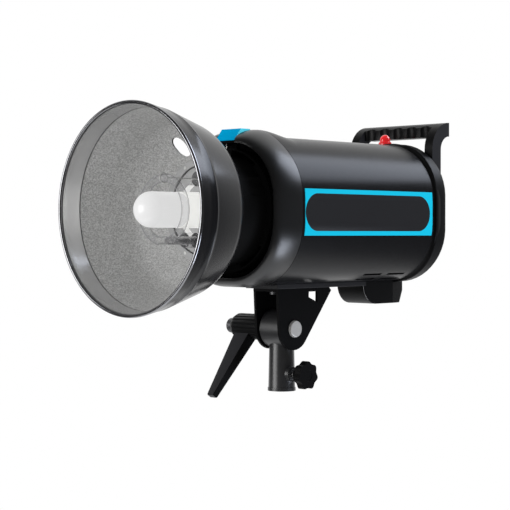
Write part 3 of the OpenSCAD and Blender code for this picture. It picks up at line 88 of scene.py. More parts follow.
def surface_group():
    """Grain and smudges: a base colour and roughness that vary a little, and a height for a bump."""
    g = bpy.data.node_groups.new("surface", "ShaderNodeTree")
    for name, kind, value in (
        ("Color", "NodeSocketColor", (0.5, 0.5, 0.5, 1)),
        ("Roughness", "NodeSocketFloat", 0.5),
        ("Grain per m", "NodeSocketFloat", 2000.0),
        ("Tone", "NodeSocketFloat", 0.1),
        ("Spread", "NodeSocketFloat", 0.05),
    ):
        g.interface.new_socket(name, in_out="INPUT", socket_type=kind).default_value = value
    for name, kind in (("Color", "NodeSocketColor"), ("Roughness", "NodeSocketFloat"), ("Height", "NodeSocketFloat")):
        g.interface.new_socket(name, in_out="OUTPUT", socket_type=kind)
    n, l = g.nodes, g.links
    gin, gout = n.new("NodeGroupInput"), n.new("NodeGroupOutput")
    coord = n.new("ShaderNodeTexCoord")
    grain = n.new("ShaderNodeTexNoise")
    grain.inputs["Detail"].default_value = GRAIN_DETAIL
    smudge = n.new("ShaderNodeTexNoise")
    smudge.inputs["Scale"].default_value = SMUDGES_PER_M
    smudge.inputs["Detail"].default_value = SMUDGE_DETAIL
    l.new(coord.outputs["Object"], grain.inputs["Vector"])
    l.new(coord.outputs["Object"], smudge.inputs["Vector"])
    l.new(gin.outputs["Grain per m"], grain.inputs["Scale"])

    def math_node(op, a, b):
        m = n.new("ShaderNodeMath")
        m.operation = op
        for i, v in enumerate((a, b)):
            if isinstance(v, float):
                m.inputs[i].default_value = v
            else:
                l.new(v, m.inputs[i])
        return m.outputs[0]

    both = math_node("ADD", math_node("MULTIPLY", grain.outputs["Fac"], GRAIN_SHARE),
                     math_node("MULTIPLY", smudge.outputs["Fac"], SMUDGE_SHARE))
    swing = math_node("SUBTRACT", both, (GRAIN_SHARE + SMUDGE_SHARE) / 2)
    gain = math_node("ADD", math_node("MULTIPLY", swing, gin.outputs["Tone"]), 1.0)
    scale = n.new("ShaderNodeVectorMath")
    scale.operation = "SCALE"
    l.new(gin.outputs["Color"], scale.inputs[0])
    l.new(gain, scale.inputs["Scale"])
    l.new(scale.outputs[0], gout.inputs["Color"])
    rough = math_node("ADD", gin.outputs["Roughness"], math_node("MULTIPLY", swing, gin.outputs["Spread"]))
    l.new(rough, gout.inputs["Roughness"])
    l.new(grain.outputs["Fac"], gout.inputs["Height"])
    return g


SURFACE = surface_group()


def map_range(nodes, given, to):
    """A node that maps the span given to the span to."""
    m = nodes.new("ShaderNodeMapRange")
    for key, value in zip(("From Min", "From Max", "To Min", "To Max"), (*given, *to)):
        m.inputs[key].default_value = value
    return m


def material(name, color, rough, metal=0.0, grain=2500.0, tone=0.12, spread=0.06, bump=0.15, depth=0.00006,
             specular=0.5, coat=0.0, emission=0.0):
    m = bpy.data.materials.new(name)
    m.use_nodes = True
    n, l = m.node_tree.nodes, m.node_tree.links
    p = n["Principled BSDF"]
    s = n.new("ShaderNodeGroup")
    s.node_tree = SURFACE
    s.inputs["Color"].default_value = (*color, 1)
    s.inputs["Roughness"].default_value = rough
    s.inputs["Grain per m"].default_value = grain
    s.inputs["Tone"].default_value = tone
    s.inputs["Spread"].default_value = spread
    l.new(s.outputs["Color"], p.inputs["Base Color"])
    l.new(s.outputs["Roughness"], p.inputs["Roughness"])
    b = n.new("ShaderNodeBump")
    b.inputs["Strength"].default_value = bump
    b.inputs["Distance"].default_value = depth
    l.new(s.outputs["Height"], b.inputs["Height"])
    l.new(b.outputs["Normal"], p.inputs["Normal"])
    p.inputs["Metallic"].default_value = metal
    p.inputs["Specular IOR Level"].default_value = specular
    p.inputs["Coat Weight"].default_value = coat
    p.inputs["Coat Roughness"].default_value = COAT_ROUGH
    if emission:
        l.new(s.outputs["Color"], p.inputs["Emission Color"])
        p.inputs["Emission Strength"].default_value = emission
    return m


PEBBLES_PER_M = 1300.0
PEBBLE_GREYS, PEBBLE_GAINS = (0.2, 0.8), (0.7, 1.3)
PEBBLE_BUMP, PEBBLE_DEPTH = 0.5, 0.0006


def pebbled(name, color, rough, metal):
    """Silver sheet pressed with a fine random pattern that sparkles."""
    m = material(name, color, rough, metal=metal, grain=900.0, tone=0.2, spread=0.1)
    n, l = m.node_tree.nodes, m.node_tree.links
    coord = n.new("ShaderNodeTexCoord")
    cells = n.new("ShaderNodeTexVoronoi")
    cells.inputs["Scale"].default_value = PEBBLES_PER_M
    l.new(coord.outputs["Object"], cells.inputs["Vector"])
    grey = n.new("ShaderNodeRGBToBW")
    l.new(cells.outputs["Color"], grey.inputs["Color"])
    gain = map_range(n, PEBBLE_GREYS, PEBBLE_GAINS)
    l.new(grey.outputs["Val"], gain.inputs["Value"])
    tint = n.new("ShaderNodeVectorMath")
    tint.operation = "SCALE"
    l.new(n["Group"].outputs["Color"], tint.inputs[0])
    l.new(gain.outputs["Result"], tint.inputs["Scale"])
    l.new(tint.outputs[0], n["Principled BSDF"].inputs["Base Color"])
    b = n["Bump"]
    b.inputs["Strength"].default_value = PEBBLE_BUMP
    b.inputs["Distance"].default_value = PEBBLE_DEPTH
    l.new(cells.outputs["Distance"], b.inputs["Height"])
    return m


GLASS_BLEND, GLASS_FALL = 0.5, 1.8


def thin_glass(name, color, rough, clear, edge):
    """Clear glass seen by its outline: nearly see-through face on, greyer where the surface turns away."""
    m = material(name, color, rough, tone=0.02, spread=0.01, bump=0.0)
    n, l = m.node_tree.nodes, m.node_tree.links
    facing = n.new("ShaderNodeLayerWeight")
    facing.inputs["Blend"].default_value = GLASS_BLEND
    steep = n.new("ShaderNodeMath")
    steep.operation = "POWER"
    steep.inputs[1].default_value = GLASS_FALL
    l.new(facing.outputs["Facing"], steep.inputs[0])
    alpha = map_range(n, (0.0, 1.0), (clear, edge))
    l.new(steep.outputs[0], alpha.inputs["Value"])
    l.new(alpha.outputs["Result"], n["Principled BSDF"].inputs["Alpha"])
    return m


# Finishes: colour, roughness and what departs from material()'s own values
BLACK = (0.0042, 0.0042, 0.0045)
FINISHES = {
    "black_metal": ((0.0050, 0.0050, 0.0056), 0.26, dict(specular=0.15)),
    "black_bowl": ((0.0045, 0.0045, 0.0052), 0.2, dict(bump=0.03, specular=0.25)),
    "black_plastic": (BLACK, 0.4, dict(grain=1800.0, specular=0.14)),
    "gloss_black": (BLACK, 0.32, dict(grain=1800.0, bump=0.06, specular=0.58)),
    "satin_black": (BLACK, 0.38, dict(grain=1800.0, bump=0.1, specular=0.12)),
    "matt_black": ((0.003, 0.003, 0.0031), 0.6, dict(grain=1800.0, specular=0.04)),
    "bracket": ((0.003, 0.003, 0.0033), 0.5, dict(grain=1500.0, tone=0.2, bump=0.3, specular=0.06)),
    "dark_casting": ((0.014, 0.014, 0.015), 0.32, dict(grain=1200.0, tone=0.2, bump=0.2, specular=0.75)),
    "zinc_steel": ((0.55, 0.55, 0.54), 0.32, dict(metal=1.0, grain=900.0, tone=0.2)),
    "zinc_head": ((0.42, 0.415, 0.405), 0.4, dict(metal=0.4, grain=900.0, tone=0.25)),
    "dark_steel": ((0.12, 0.12, 0.125), 0.4, dict(metal=0.9, grain=900.0, tone=0.1)),
    "dark_chrome": ((0.26, 0.26, 0.27), 0.16, dict(metal=1.0, grain=900.0, tone=0.05)),
    # painted shade: a dark grey for the narrow strips in the bowl's creases
    "painted_crease_shade": ((0.06, 0.06, 0.06), 0.5, dict(metal=0.3, grain=900.0, tone=0.1)),
    # a pale matt silver: the silver of the bowl's neck and the lamp plate, partly painted light in the shaded gap round
    # the lamp, and a painted highlight on the rear foot's edge
    "pale_silver_and_painted_highlight": ((0.30, 0.30, 0.30), 0.6, dict(metal=0.2, grain=900.0, tone=0.1)),
    "brass": ((0.62, 0.42, 0.16), 0.3, dict(metal=1.0, grain=900.0)),
    "friction_fibre": ((0.10, 0.07, 0.045), 0.85, dict(grain=1500.0, tone=0.3)),
    "bright_aluminium": ((0.80, 0.80, 0.81), 0.25, dict(metal=1.0, grain=700.0)),
    # painted light: the white ceramic glows a little, as if lit from inside the strobe
    "white_ceramic": ((0.82, 0.82, 0.80), 0.35, dict(grain=600.0, tone=0.05, emission=0.55)),
    "frosted_glass": ((0.20, 0.20, 0.20), 0.3, dict(grain=800.0, tone=0.04, emission=2.9)),
    "chrome": ((0.82, 0.82, 0.83), 0.08, dict(metal=1.0, grain=500.0, tone=0.06, spread=0.03)),
    "blue_label": ((0.004, 0.405, 0.575), 0.45, dict(grain=1500.0, tone=0.05, bump=0.05, specular=0.03)),
    "dark_label": ((0.0120, 0.0120, 0.0135), 0.4, dict(grain=1500.0, tone=0.1, bump=0.05, specular=0.2)),
    "blue_plastic": ((0.001, 0.300, 0.560), 0.45, dict(grain=1500.0, tone=0.08, specular=0.0)),
    # painted light: a lighter blue for the release slider's side
    "painted_lit_blue": ((0.115, 0.800, 1.000), 0.45, dict(grain=1500.0, tone=0.08, specular=0.0)),
    # a lighter black: the mount rail's grey, and painted light on the handle's sides and the tilt lever's grip
    "dark_grey": ((0.016, 0.016, 0.018), 0.4, dict(grain=1800.0, bump=0.1, specular=0.2)),
    "grey_plastic": ((0.10, 0.10, 0.105), 0.5, dict(grain=1500.0)),
    "smoked_window": ((0.025, 0.004, 0.005), 0.12, dict(grain=600.0, tone=0.1, bump=0.0)),
    "red_lens": ((0.80, 0.016, 0.020), 0.14, dict(grain=500.0, tone=0.08, bump=0.02, coat=0.6)),
    "red_button": ((0.42, 0.014, 0.017), 0.45, dict(grain=1500.0)),
    "capacitor_sleeve": ((0.010, 0.015, 0.09), 0.3, {}),
    "circuit_board": ((0.010, 0.11, 0.045), 0.5, {}),
    "iron_core": ((0.12, 0.10, 0.08), 0.55, dict(metal=0.6, grain=700.0, tone=0.25)),
    "silver_band": ((0.60, 0.60, 0.60), 0.24, dict(metal=0.7, grain=1200.0, tone=0.1)),
}
M = {name: material(name, color, rough, **more) for name, (color, rough, more) in FINISHES.items()}
M["clear_glass"] = thin_glass("clear_glass", (0.22, 0.22, 0.23), 0.05, clear=0.04, edge=1.0)
M["silver_bowl"] = pebbled("silver_bowl", (0.52, 0.52, 0.515), 0.42, metal=0.5)


# Mesh helpers

CORNER_STEPS, TURN_SIDES, ROD_SIDES = 24, 160, 48
BEVEL_STEPS, EDGE_ANGLE = 3, 30.0
WELD, FLAT_ANGLE = 2e-6, 0.4  # metres and degrees: points and faces of a solid's mesh that count as one


def mesh(name, verts, faces, mats, face_mats=None):
    """An object from points in millimetres."""
    me = bpy.data.meshes.new(name)
    me.from_pydata([(x * MM, y * MM, z * MM) for x, y, z in verts], [], faces)
    for m in mats:
        me.materials.append(M[m])
    if face_mats:
        me.polygons.foreach_set("material_index", face_mats)
    me.validate()
    b = bmesh.new()
    b.from_mesh(me)
    bmesh.ops.recalc_face_normals(b, faces=b.faces)
    b.to_mesh(me)
    b.free()
    o = bpy.data.objects.new(name, me)
    bpy.context.scene.collection.objects.link(o)
    return o


def smooth(o, angle):
    o.data.polygons.foreach_set("use_smooth", [True] * len(o.data.polygons))
    o.data.set_sharp_from_angle(angle=math.radians(angle))


def bevel(o, width):
    m = o.modifiers.new("edges", "BEVEL")
    m.width = width * MM
    m.segments = BEVEL_STEPS
    m.limit_method = "ANGLE"
    m.angle_limit = math.radians(EDGE_ANGLE)
    m.harden_normals = True
    m.use_clamp_overlap = True
    m.miter_outer = "MITER_ARC"


def baked(o):
    """Applies the modifiers of an object that isn't a CAD node."""
    dg = bpy.context.evaluated_depsgraph_get()
    me = bpy.data.meshes.new_from_object(o.evaluated_get(dg))
    o.modifiers.clear()
    old = o.data
    o.data = me
    bpy.data.meshes.remove(old)
    return o


def cut(o, *tools):
    for t in tools:
        m = o.modifiers.new("cut", "BOOLEAN")
        m.operation = "DIFFERENCE"
        m.solver = "EXACT"
        m.object = t
    baked(o)
    for t in tools:
        bpy.data.objects.remove(t)


def stands_for(o, node):
    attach(o, NODE_BODY[node])
    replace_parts(o, node)


def head_trim(o):
    """A piece of the head that stands for no solid."""
    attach(o, "head")


def loft(rings, mats_of_ring=None, closed=False, caps=False):
    """Verts, faces and face materials of a skin through rings of equal length."""
    n = len(rings[0])
    verts = [p for r in rings for p in r]
    faces, mats = [], []
    last = len(rings) if closed else len(rings) - 1
    for k in range(last):
        k1 = (k + 1) % len(rings)
        for i in range(n):
            j = (i + 1) % n
            faces.append((k * n + i, k * n + j, k1 * n + j, k1 * n + i))
            mats.append(mats_of_ring[k] if mats_of_ring else 0)
    if caps:
        faces.append(tuple(range(n)))
        faces.append(tuple(range((len(rings) - 1) * n, len(rings) * n)))
        mats += [0, 0]
    return verts, faces, mats


def outline(h, r):
    """Rounded square of half size h about the light's axis, in x and z."""
    c = h - r
    pts = []
    for k, (sx, sz) in enumerate(((1, 1), (-1, 1), (-1, -1), (1, -1))):
        for i in range(CORNER_STEPS + 1):
            a = math.radians(90 * k + 90 * i / CORNER_STEPS)
            pts.append((sx * c + r * math.cos(a), sz * c + r * math.sin(a)))
    return pts


def ring(h, r, y):
    return [(x, y, AXIS + z) for x, z in outline(h, r)]


def turned(profile, sides=TURN_SIDES, centre=(0.0, AXIS)):
    """Rings of a profile of (radius, y) turned about an axis along Y."""
    turns = [2 * math.pi * i / sides for i in range(sides)]
    return [[(centre[0] + r * math.cos(a), y, centre[1] + r * math.sin(a)) for a in turns] for r, y in profile]


def box_tool(x0, x1, y0, y1, z0, z1, turn=None, about=None):
    v = [(x, y, z) for x in (x0, x1) for y in (y0, y1) for z in (z0, z1)]
    f = [(0, 1, 3, 2), (4, 6, 7, 5), (0, 4, 5, 1), (2, 3, 7, 6), (0, 2, 6, 4), (1, 5, 7, 3)]
    o = mesh("tool", v, f, ["black_plastic"])
    if turn is not None:
        o.data.transform(Matrix.Translation(Vector(about) * MM) @ Matrix.Rotation(math.radians(turn), 4, "Y"))
    return o


def rod_tool(r, y0, y1, x, z):
    v, f, _ = loft(turned([(r, y0), (r, y1)], ROD_SIDES, (x, AXIS + z)), caps=True)
    return mesh("tool", v, f, ["black_plastic"])


def refined(node, mat=None, width=0):
    """A copy of a CAD node with smooth shading and edges softened by a width, in its place."""
    b = bmesh.new()
    b.from_mesh(frame["nodes"][node].data)
    bmesh.ops.remove_doubles(b, verts=b.verts, dist=WELD)
    bmesh.ops.dissolve_limit(b, angle_limit=math.radians(FLAT_ANGLE), verts=b.verts, edges=b.edges)
    me = bpy.data.meshes.new(node + "_look")
    b.to_mesh(me)
    b.free()
    me.materials.append(M[mat or NODE_SLOT[node]])
    o = bpy.data.objects.new(node + "_look", me)
    bpy.context.scene.collection.objects.link(o)
    smooth(o, EDGE_ANGLE)
    if width:
        bevel(o, width)
    stands_for(o, node)
    return o


def paint(o, mat, test):
    """Gives the faces whose middle, in millimetres, and normal pass the test another material."""
    o.data.materials.append(M[mat])
    for f in o.data.polygons:
        if test(f.center / MM, f.normal):
            f.material_index = len(o.data.materials) - 1


def off_axis(p):
    return math.hypot(p.x, p.z - AXIS)


# Reflector: silver inside, satin black outside. Its points are (radius, distance behind the rim)

SHEET = 1.2
BOWL_SIDES = 256
RIM_R = 90.0
BEAD_R, BEAD_Y, BEAD_STEPS = 1.6, 0.8, 10
BAND_START = (87.0, 2.6)
BAND_R, BAND_Y = 88.0, 10.8
CREASE_R, CREASE_Y, CREASE_HALF = 86.3, 20.0, 0.6
CREASE_FOLD = ((86.3, -0.2), (86.4, 0.3), (86.1, 0.8))  # outside: radius, and distance behind the crease
WALL_R, WALL_Y = 85.55, 23.2
WALL_TOP_R, WALL_END_R, WALL_END_Y, WALL_L = 86.0, 76.2, 55.4, 33.8
FLARE = math.degrees(math.atan((WALL_TOP_R - WALL_END_R) / WALL_L))
BACK = 50.3  # slope of the back in degrees
SHOULDER, SHOULDER_STEPS = 31.0, 12  # radius of the bend between wall and back
SHOULDER_Y = WALL_END_Y - SHOULDER * math.sin(math.radians(FLARE))
SHOULDER_C = WALL_END_R - SHOULDER * math.cos(math.radians(FLARE))
NECK_R = 46.0
SHAFT_HOLE_R, SHAFT_HOLE_SHIFTS = 6.5, (-3.5, -2.0, -0.5)  # three rods cut the long hole
SHAFT_HOLE_FROM, SHAFT_HOLE_SHORT = 24, 1  # its reach: start behind the rim, and end ahead of the neck
NECK_PAINT, FORWARD = 1.5, -0.9
BOWL_ANGLE = 28.0
BOWL_MATS = ["black_bowl", "silver_bowl", "silver_band", "dark_chrome", "painted_crease_shade"]
OUTSIDE, PEBBLED, BAND, RIM_METAL, CREASE_SHADE = range(5)


def bowl_line(t):
    """The bowl's line from rim to neck, t inside its outer face."""
    pts = [(RIM_R - t, 0.0), (BAND_R - t, BAND_Y), (CREASE_R - t, CREASE_Y), (WALL_R - t, WALL_Y)]
    for i in range(SHOULDER_STEPS + 1):
        a = math.radians(FLARE + (BACK - FLARE) * i / SHOULDER_STEPS)
        pts.append((SHOULDER_C + (SHOULDER - t) * math.cos(a), SHOULDER_Y + (SHOULDER - t) * math.sin(a)))
    end_r, end_y = pts[-1]
    pts.append((NECK_R, end_y + (end_r - NECK_R) / math.tan(math.radians(BACK))))
    return pts


def reflector():
    outer, inner = bowl_line(0.0), bowl_line(SHEET)
    outer[2:3] = [(r, CREASE_Y + y) for r, y in CREASE_FOLD]
    inner[2:3] = [(CREASE_R - SHEET, CREASE_Y - CREASE_HALF), (CREASE_R - SHEET, CREASE_Y + CREASE_HALF)]
    turns = [math.pi * k / BEAD_STEPS for k in range(-1, BEAD_STEPS + 1)]
    bead = [(RIM_R - BEAD_R + BEAD_R * math.cos(a), BEAD_Y - BEAD_R * math.sin(a)) for a in turns]
    neck_y = outer[-1][1]
    flange = [(inner[-1][0], neck_y - SHEET), (NECK_BORE, neck_y - SHEET), (NECK_BORE, neck_y)]
    profile = bead + [BAND_START] + inner[1:-1] + flange + outer[:0:-1]
    # Painted shade: two narrow dark strips, at the inner edge of the rim's bead and along the crease inside
    mats = [RIM_METAL] * (len(bead) - 1) + [CREASE_SHADE, BAND, BAND, CREASE_SHADE] + [PEBBLED] * (len(inner) - 2)
    mats += [OUTSIDE] * (len(profile) - len(mats))
    v, f, fm = loft(turned([(r, RIM + y) for r, y in profile], BOWL_SIDES), mats, closed=True)
    o = mesh("reflector_bowl_look", v, f, BOWL_MATS, fm)
    x, z = UMBRELLA
    a = math.atan2(z, x)
    reach = RIM + SHAFT_HOLE_FROM, RIM + neck_y - SHAFT_HOLE_SHORT
    cut(o, *[rod_tool(SHAFT_HOLE_R, *reach, x + u * math.cos(a), z + u * math.sin(a)) for u in SHAFT_HOLE_SHIFTS])
    smooth(o, BOWL_ANGLE)
    paint(o, "pale_silver_and_painted_highlight", lambda p, n: p.y > RIM + neck_y - NECK_PAINT and n.y < FORWARD)
    stands_for(o, "reflector_bowl")


reflector()


# Casing with its vents

CASING_WALL, CASING_EDGE = 2, 0.5
CASING_ANGLE = 25.0
VENT_TURNS = (19.8, 30.8)  # degrees round the lower corners
VENT_HALF, VENT_L, VENT_STEP, VENT_REAR = 1.75, 26, 35, 11
VENT_OUT, VENT_IN = 1, 3  # reach of the cut on both sides of the wall


def casing():
    def part(inset, y):
        return ring(HALF - inset, CORNER - inset, y)

    rings = [part(CASING_EDGE, SEAM), part(0, SEAM + CASING_EDGE), part(0, REAR - CASING_EDGE),
             part(CASING_EDGE, REAR), part(CASING_WALL, REAR), part(CASING_WALL, SEAM)]
    v, f, fm = loft(rings, closed=True)
    o = mesh("casing_look", v, f, ["black_metal"], fm)
    c = HALF - CORNER
    tools = []
    for side in (-1, 1):
        for turn in VENT_TURNS:
            for k in (0, 1):
                y0 = REAR - VENT_REAR - k * VENT_STEP - VENT_L
                tools.append(box_tool(-VENT_HALF, VENT_HALF, y0, y0 + VENT_L, -CORNER - VENT_OUT, -CORNER + VENT_IN,
                                      -side * turn, (side * c, 0, AXIS - c)))
    cut(o, *tools)
    smooth(o, CASING_ANGLE)
    stands_for(o, "casing")


casing()


# Front shell: nose, hood with its tail, chin

NOSE_STEPS = 22
NOSE_INSET, NOSE_TIGHTER = 7.0, 6.0  # at the mouth: smaller half width and corner radius
HOOD_RISE, CHIN_DROP = 5.5, 2.5
HOOD_FLAT, HOOD_FADE = 12.0, 38.0
SHELL_ANGLE = 30.0
# Half sizes and corner radii of the shell's inside, from the casing to the mouth
SHELL_BACK, RECESS, BULKHEAD, MOUTH_EDGE = (63.8, 53.3), (59.0, 48.5), (45.0, 44.9), (59.25, 49.3)
BULKHEAD_REAR, BULKHEAD_FRONT = -52.0, -55.0
MOUTH_EDGE_L = 0.4
CUT_AHEAD, CUT_BEHIND = FRONT - 2, SEAM + 1  # cuts start clear of the mouth and end clear of the shell
# Slots of the release slider and its stem: half width, front, rear, floor and top over the axis
SLIDER_SLOT = (12.3, CUT_AHEAD, -48.7, 61.2, 80)
STEM_SLOT = (2.9, -61.8, -51.7, 46.4, 62)
TUBE_HOLE_R = 5.6
SLOT_SHADE_L, SLOT_SHADE_HALF, SLOT_SHADE_TOP = 6, 13, 61.5
TAIL_ACROSS, TAIL_ALONG, TAIL_L = 48, 24, 35.0
TAIL_LAP, TAIL_SUNK, TAIL_DEPTH = 0.05, 0.25, 1.2


def fade(u):
    return 1.0 if u <= 0 else 0.0 if u >= 1 else 0.5 + 0.5 * math.cos(math.pi * u)


def hood_side(x):
    return fade((abs(x) - HOOD_FLAT) / HOOD_FADE)


def nose_ring(t):
    s, c = math.sin(t), math.cos(t)
    pts = []
    for x, z in outline(HALF - NOSE_INSET + NOSE_INSET * s, CORNER - NOSE_TIGHTER * c):
        lift = HOOD_RISE * s if z > 0 else -CHIN_DROP * math.sin(2 * t)
        pts.append((x, SEAM - (SEAM - FRONT) * c, AXIS + z + lift * hood_side(x)))
    return pts


def slot_tool(half, y0, y1, z0, z1):
    return box_tool(-half, half, y0, y1, AXIS + z0, AXIS + z1)


def front_shell():
    rings = [nose_ring(math.radians(90 * k / NOSE_STEPS)) for k in range(NOSE_STEPS + 1)]
    rings += [ring(*SHELL_BACK, SEAM), ring(*RECESS, SEAM), ring(*RECESS, BULKHEAD_REAR),
              ring(*BULKHEAD, BULKHEAD_REAR), ring(*BULKHEAD, BULKHEAD_FRONT), ring(*RECESS, BULKHEAD_FRONT),
              ring(*RECESS, FRONT + MOUTH_EDGE_L), ring(*MOUTH_EDGE, FRONT)]
    inside = [int(k >= NOSE_STEPS) for k in range(len(rings))]
    v, f, fm = loft(rings, inside, closed=True)
    o = mesh("front_shell_look", v, f, ["gloss_black", "matt_black"], fm)
    cut(o, slot_tool(*SLIDER_SLOT), slot_tool(*STEM_SLOT), rod_tool(TUBE_HOLE_R, CUT_AHEAD, CUT_BEHIND, *UMBRELLA))
    smooth(o, SHELL_ANGLE)
    paint(o, "matt_black", lambda p, n: p.y < FRONT + SLOT_SHADE_L and abs(p.x) < SLOT_SHADE_HALF
          and 0 < p.z - AXIS < SLOT_SHADE_TOP)
    stands_for(o, "front_shell")


def hood_tail():
    """The hood's end, which fades into the top of the casing."""
    c = HALF - CORNER
    n = TAIL_ACROSS + 1
    top, low = [], []
    for j in range(TAIL_ALONG + 1):
        s = j / TAIL_ALONG
        y = SEAM - TAIL_LAP + TAIL_L * s
        for i in range(n):
            x = (HOOD_FLAT + HOOD_FADE) * (2 * i / TAIL_ACROSS - 1)
            u = max(abs(x) - c, 0.0)
            z = AXIS + c + math.sqrt(CORNER ** 2 - u ** 2)
            top.append((x, y, z - TAIL_SUNK + (HOOD_RISE + TAIL_SUNK) * hood_side(x) * fade(s)))
            low.append((x, y, z - TAIL_DEPTH))
    off = len(top)
    faces = []
    for j in range(TAIL_ALONG):
        for i in range(TAIL_ACROSS):
            a = j * n + i
            faces.append((a, a + 1, a + 1 + n, a + n))
            faces.append((off + a, off + a + n, off + a + 1 + n, off + a + 1))
    edge = list(range(n)) + [j * n + TAIL_ACROSS for j in range(1, TAIL_ALONG + 1)]
    edge += [TAIL_ALONG * n + i for i in range(TAIL_ACROSS - 1, -1, -1)] + [j * n for j in range(TAIL_ALONG - 1, 0, -1)]
    for k, a in enumerate(edge):
        b = edge[(k + 1) % len(edge)]
        faces.append((a, a + off, b + off, b))
    o = mesh("hood_tail_look", top + low, faces, ["black_metal"])
    smooth(o, SHELL_ANGLE)
    head_trim(o)


front_shell()
hood_tail()


# Pieces whose CAD shape is kept, with the width of their softened edges

RING_INSIDE = NECK_BORE + 7  # radius of the bayonet ring's inside, silver made pale and matt: partly painted light in the shaded gap round the lamp
BASE_SIDE = 34  # radius outside which the lamp base is silver, pale and matt: partly painted light in the shaded gap round the lamp
SOCKET_L, POST_START = 16.0, 0.5
GRIP_TOP = PIVOT - 13
SLIDER_FLOOR = AXIS + 61
SIDEWAYS, LEVER_SIDE = 0.8, 0.5  # part of a normal along X above which a face looks to the side
FOOT_HIGHLIGHT_X, FOOT_HIGHLIGHT_Y = (0.5, 0.85), -0.4  # normals of the rear foot's edge that gets a painted highlight

for node, width in (
    ("socket_casting", 0.5), ("tilt_washer", 0.3), ("power_rocker", 0.4), ("fuse_cap", 0.5), ("power_dial", 0.4),
    ("mains_inlet", 0.4), ("button_model", 0.5), ("button_sound", 0.5), ("button_slave", 0.5), ("button_test", 0.5),
    ("control_panel", 0.3), ("lamp_collar", 0.4), ("sync_socket", 0.3), ("handle_screws", 0.2),
):
    refined(node, width=width)
refined("tilt_bracket", "bracket", 0.6)
refined("mount_ring", "matt_black", 0.3)
bayonet = refined("bayonet_ring", "matt_black", 0.3)
# silver inside the ring, made pale so that the shaded gap reads lit: partly painted light
paint(bayonet, "pale_silver_and_painted_highlight", lambda p, n: off_axis(p) < RING_INSIDE)
base = refined("lamp_base", width=0.4)
# the base's side likewise: silver, and partly painted light in the shaded gap
paint(base, "pale_silver_and_painted_highlight", lambda p, n: p.y < FRONT and off_axis(p) > BASE_SIDE)
refined("lamp_plate", "pale_silver_and_painted_highlight", 0.3)
sockets = refined("tube_sockets", width=0.3)
paint(sockets, "silver_bowl", lambda p, n: p.y < PLATE - SOCKET_L / 2 - POST_START and p.z > AXIS)
refined("tilt_bolt", "zinc_head", 0.7)
refined("bracket_screws", "dark_steel")
refined("mount_rail", "dark_grey", 0.6)
refined("clamp_bush", "dark_casting", 0.3)
# painted shade: the lock pin in the shell's recess is matt black
refined("lock_pin", "matt_black")
foot = baked(refined("rear_foot", "satin_black", 2.5))
# painted highlight: a pale line along the rear foot's edge
paint(foot, "pale_silver_and_painted_highlight", lambda p, n: FOOT_HIGHLIGHT_X[0] < n.x < FOOT_HIGHLIGHT_X[1] and n.y < FOOT_HIGHLIGHT_Y)
handle = refined("carry_handle", "satin_black", 1.6)
# painted light: the handle's faces that look to +X are a lighter grey
paint(handle, "dark_grey", lambda p, n: n.x > SIDEWAYS)
# painted light and shade: the lever is a lighter grey on its grip, and darker on its hub and on its faces that look to
# +X
lever = refined("tilt_lever", "dark_grey", 1.2)
paint(lever, "satin_black", lambda p, n: p.z > GRIP_TOP)
paint(lever, "matt_black", lambda p, n: n.x > LEVER_SIDE)
refined("lever_screw", "dark_steel", 0.5)
release_spring = refined("release_spring", "matt_black")
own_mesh(release_spring)
lever_spring = refined("lever_spring")
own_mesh(lever_spring)
refined("clamp_knob", "bracket", 0.9)
slider = refined("release_slider", width=1.4)
# painted light: the slider's faces that look to +X are a lighter blue
paint(slider, "painted_lit_blue", lambda p, n: n.x > SIDEWAYS)
# painted shade: the slider's part below its floor, in the recess, is matt black
paint(slider, "matt_black", lambda p, n: p.z < SLIDER_FLOOR)


# Side labels, and the pieces that keep their sharp edges

LABEL_Z, LABEL_MID = AXIS - 1.5, 48.5
LABEL_BORDER, INLAY_REACH = 3.1, 20.0
INLAY_FRONT, INLAY_REAR = 0.8, 3.0


def slide(o, test):
    """Moves the ends of the label's dark inlay, or of its opening in the blue frame, towards the front."""
    for v in o.data.vertices:
        if test(v.co / MM):
            v.co.y -= (INLAY_FRONT if v.co.y < LABEL_MID * MM else INLAY_REAR) * MM


def within_frame(p):
    return SEAM + LABEL_BORDER < p.y < REAR - LABEL_BORDER and abs(p.z - LABEL_Z) < INLAY_REACH


slide(refined("side_labels"), within_frame)
slide(refined("label_inlays"), lambda p: True)
for node in ("rear_bezel", "lamp_glass", "flash_tube", "umbrella_tube", "clamp_stud", "friction_discs", "lamp_holder",
             "display_window", "clamp_nut"):
    refined(node)


# Lamp cup, bezel lip and slave cell

# Radius, and place along the axis from the lamp plate
CUP_LINE = ((24.0, -0.05), (26.0, -3.0), (26.6, -4.0), (27.2, -3.6), (27.0, -3.0), (25.2, -0.05))
CUP_ANGLE, LIP_ANGLE, DOME_ANGLE = 50.0, 40.0, 40.0
# Height over the casing's skin and distance behind its rear end
LIP_LINE = ((-1.0, 2.5), (1.0, 2.5), (1.5, 3.0), (1.6, 4.0), (1.3, 6.5), (0.6, 9.5), (-0.3, 12.5), (-1.0, 12.5))
DOME_Y, DOME_SIDES = 150.3, 64
DOME_FLANGE = [(6.45, -1.9), (6.45, 2.7), (6.25, 3.3), (5.4, 3.6), (5.1, 4.2)]  # radius and height over the casing
BALL_R, BALL_RISE, BALL_Z, BALL_STEP = 5.2, 5.9, 5.0, 6


def lamp_cup():
    """Chrome cup round the foot of the lamp."""
    v, f, fm = loft(turned([(r, PLATE + y) for r, y in CUP_LINE]), closed=True)
    o = mesh("lamp_cup_look", v, f, ["chrome"], fm)
    smooth(o, CUP_ANGLE)
    head_trim(o)


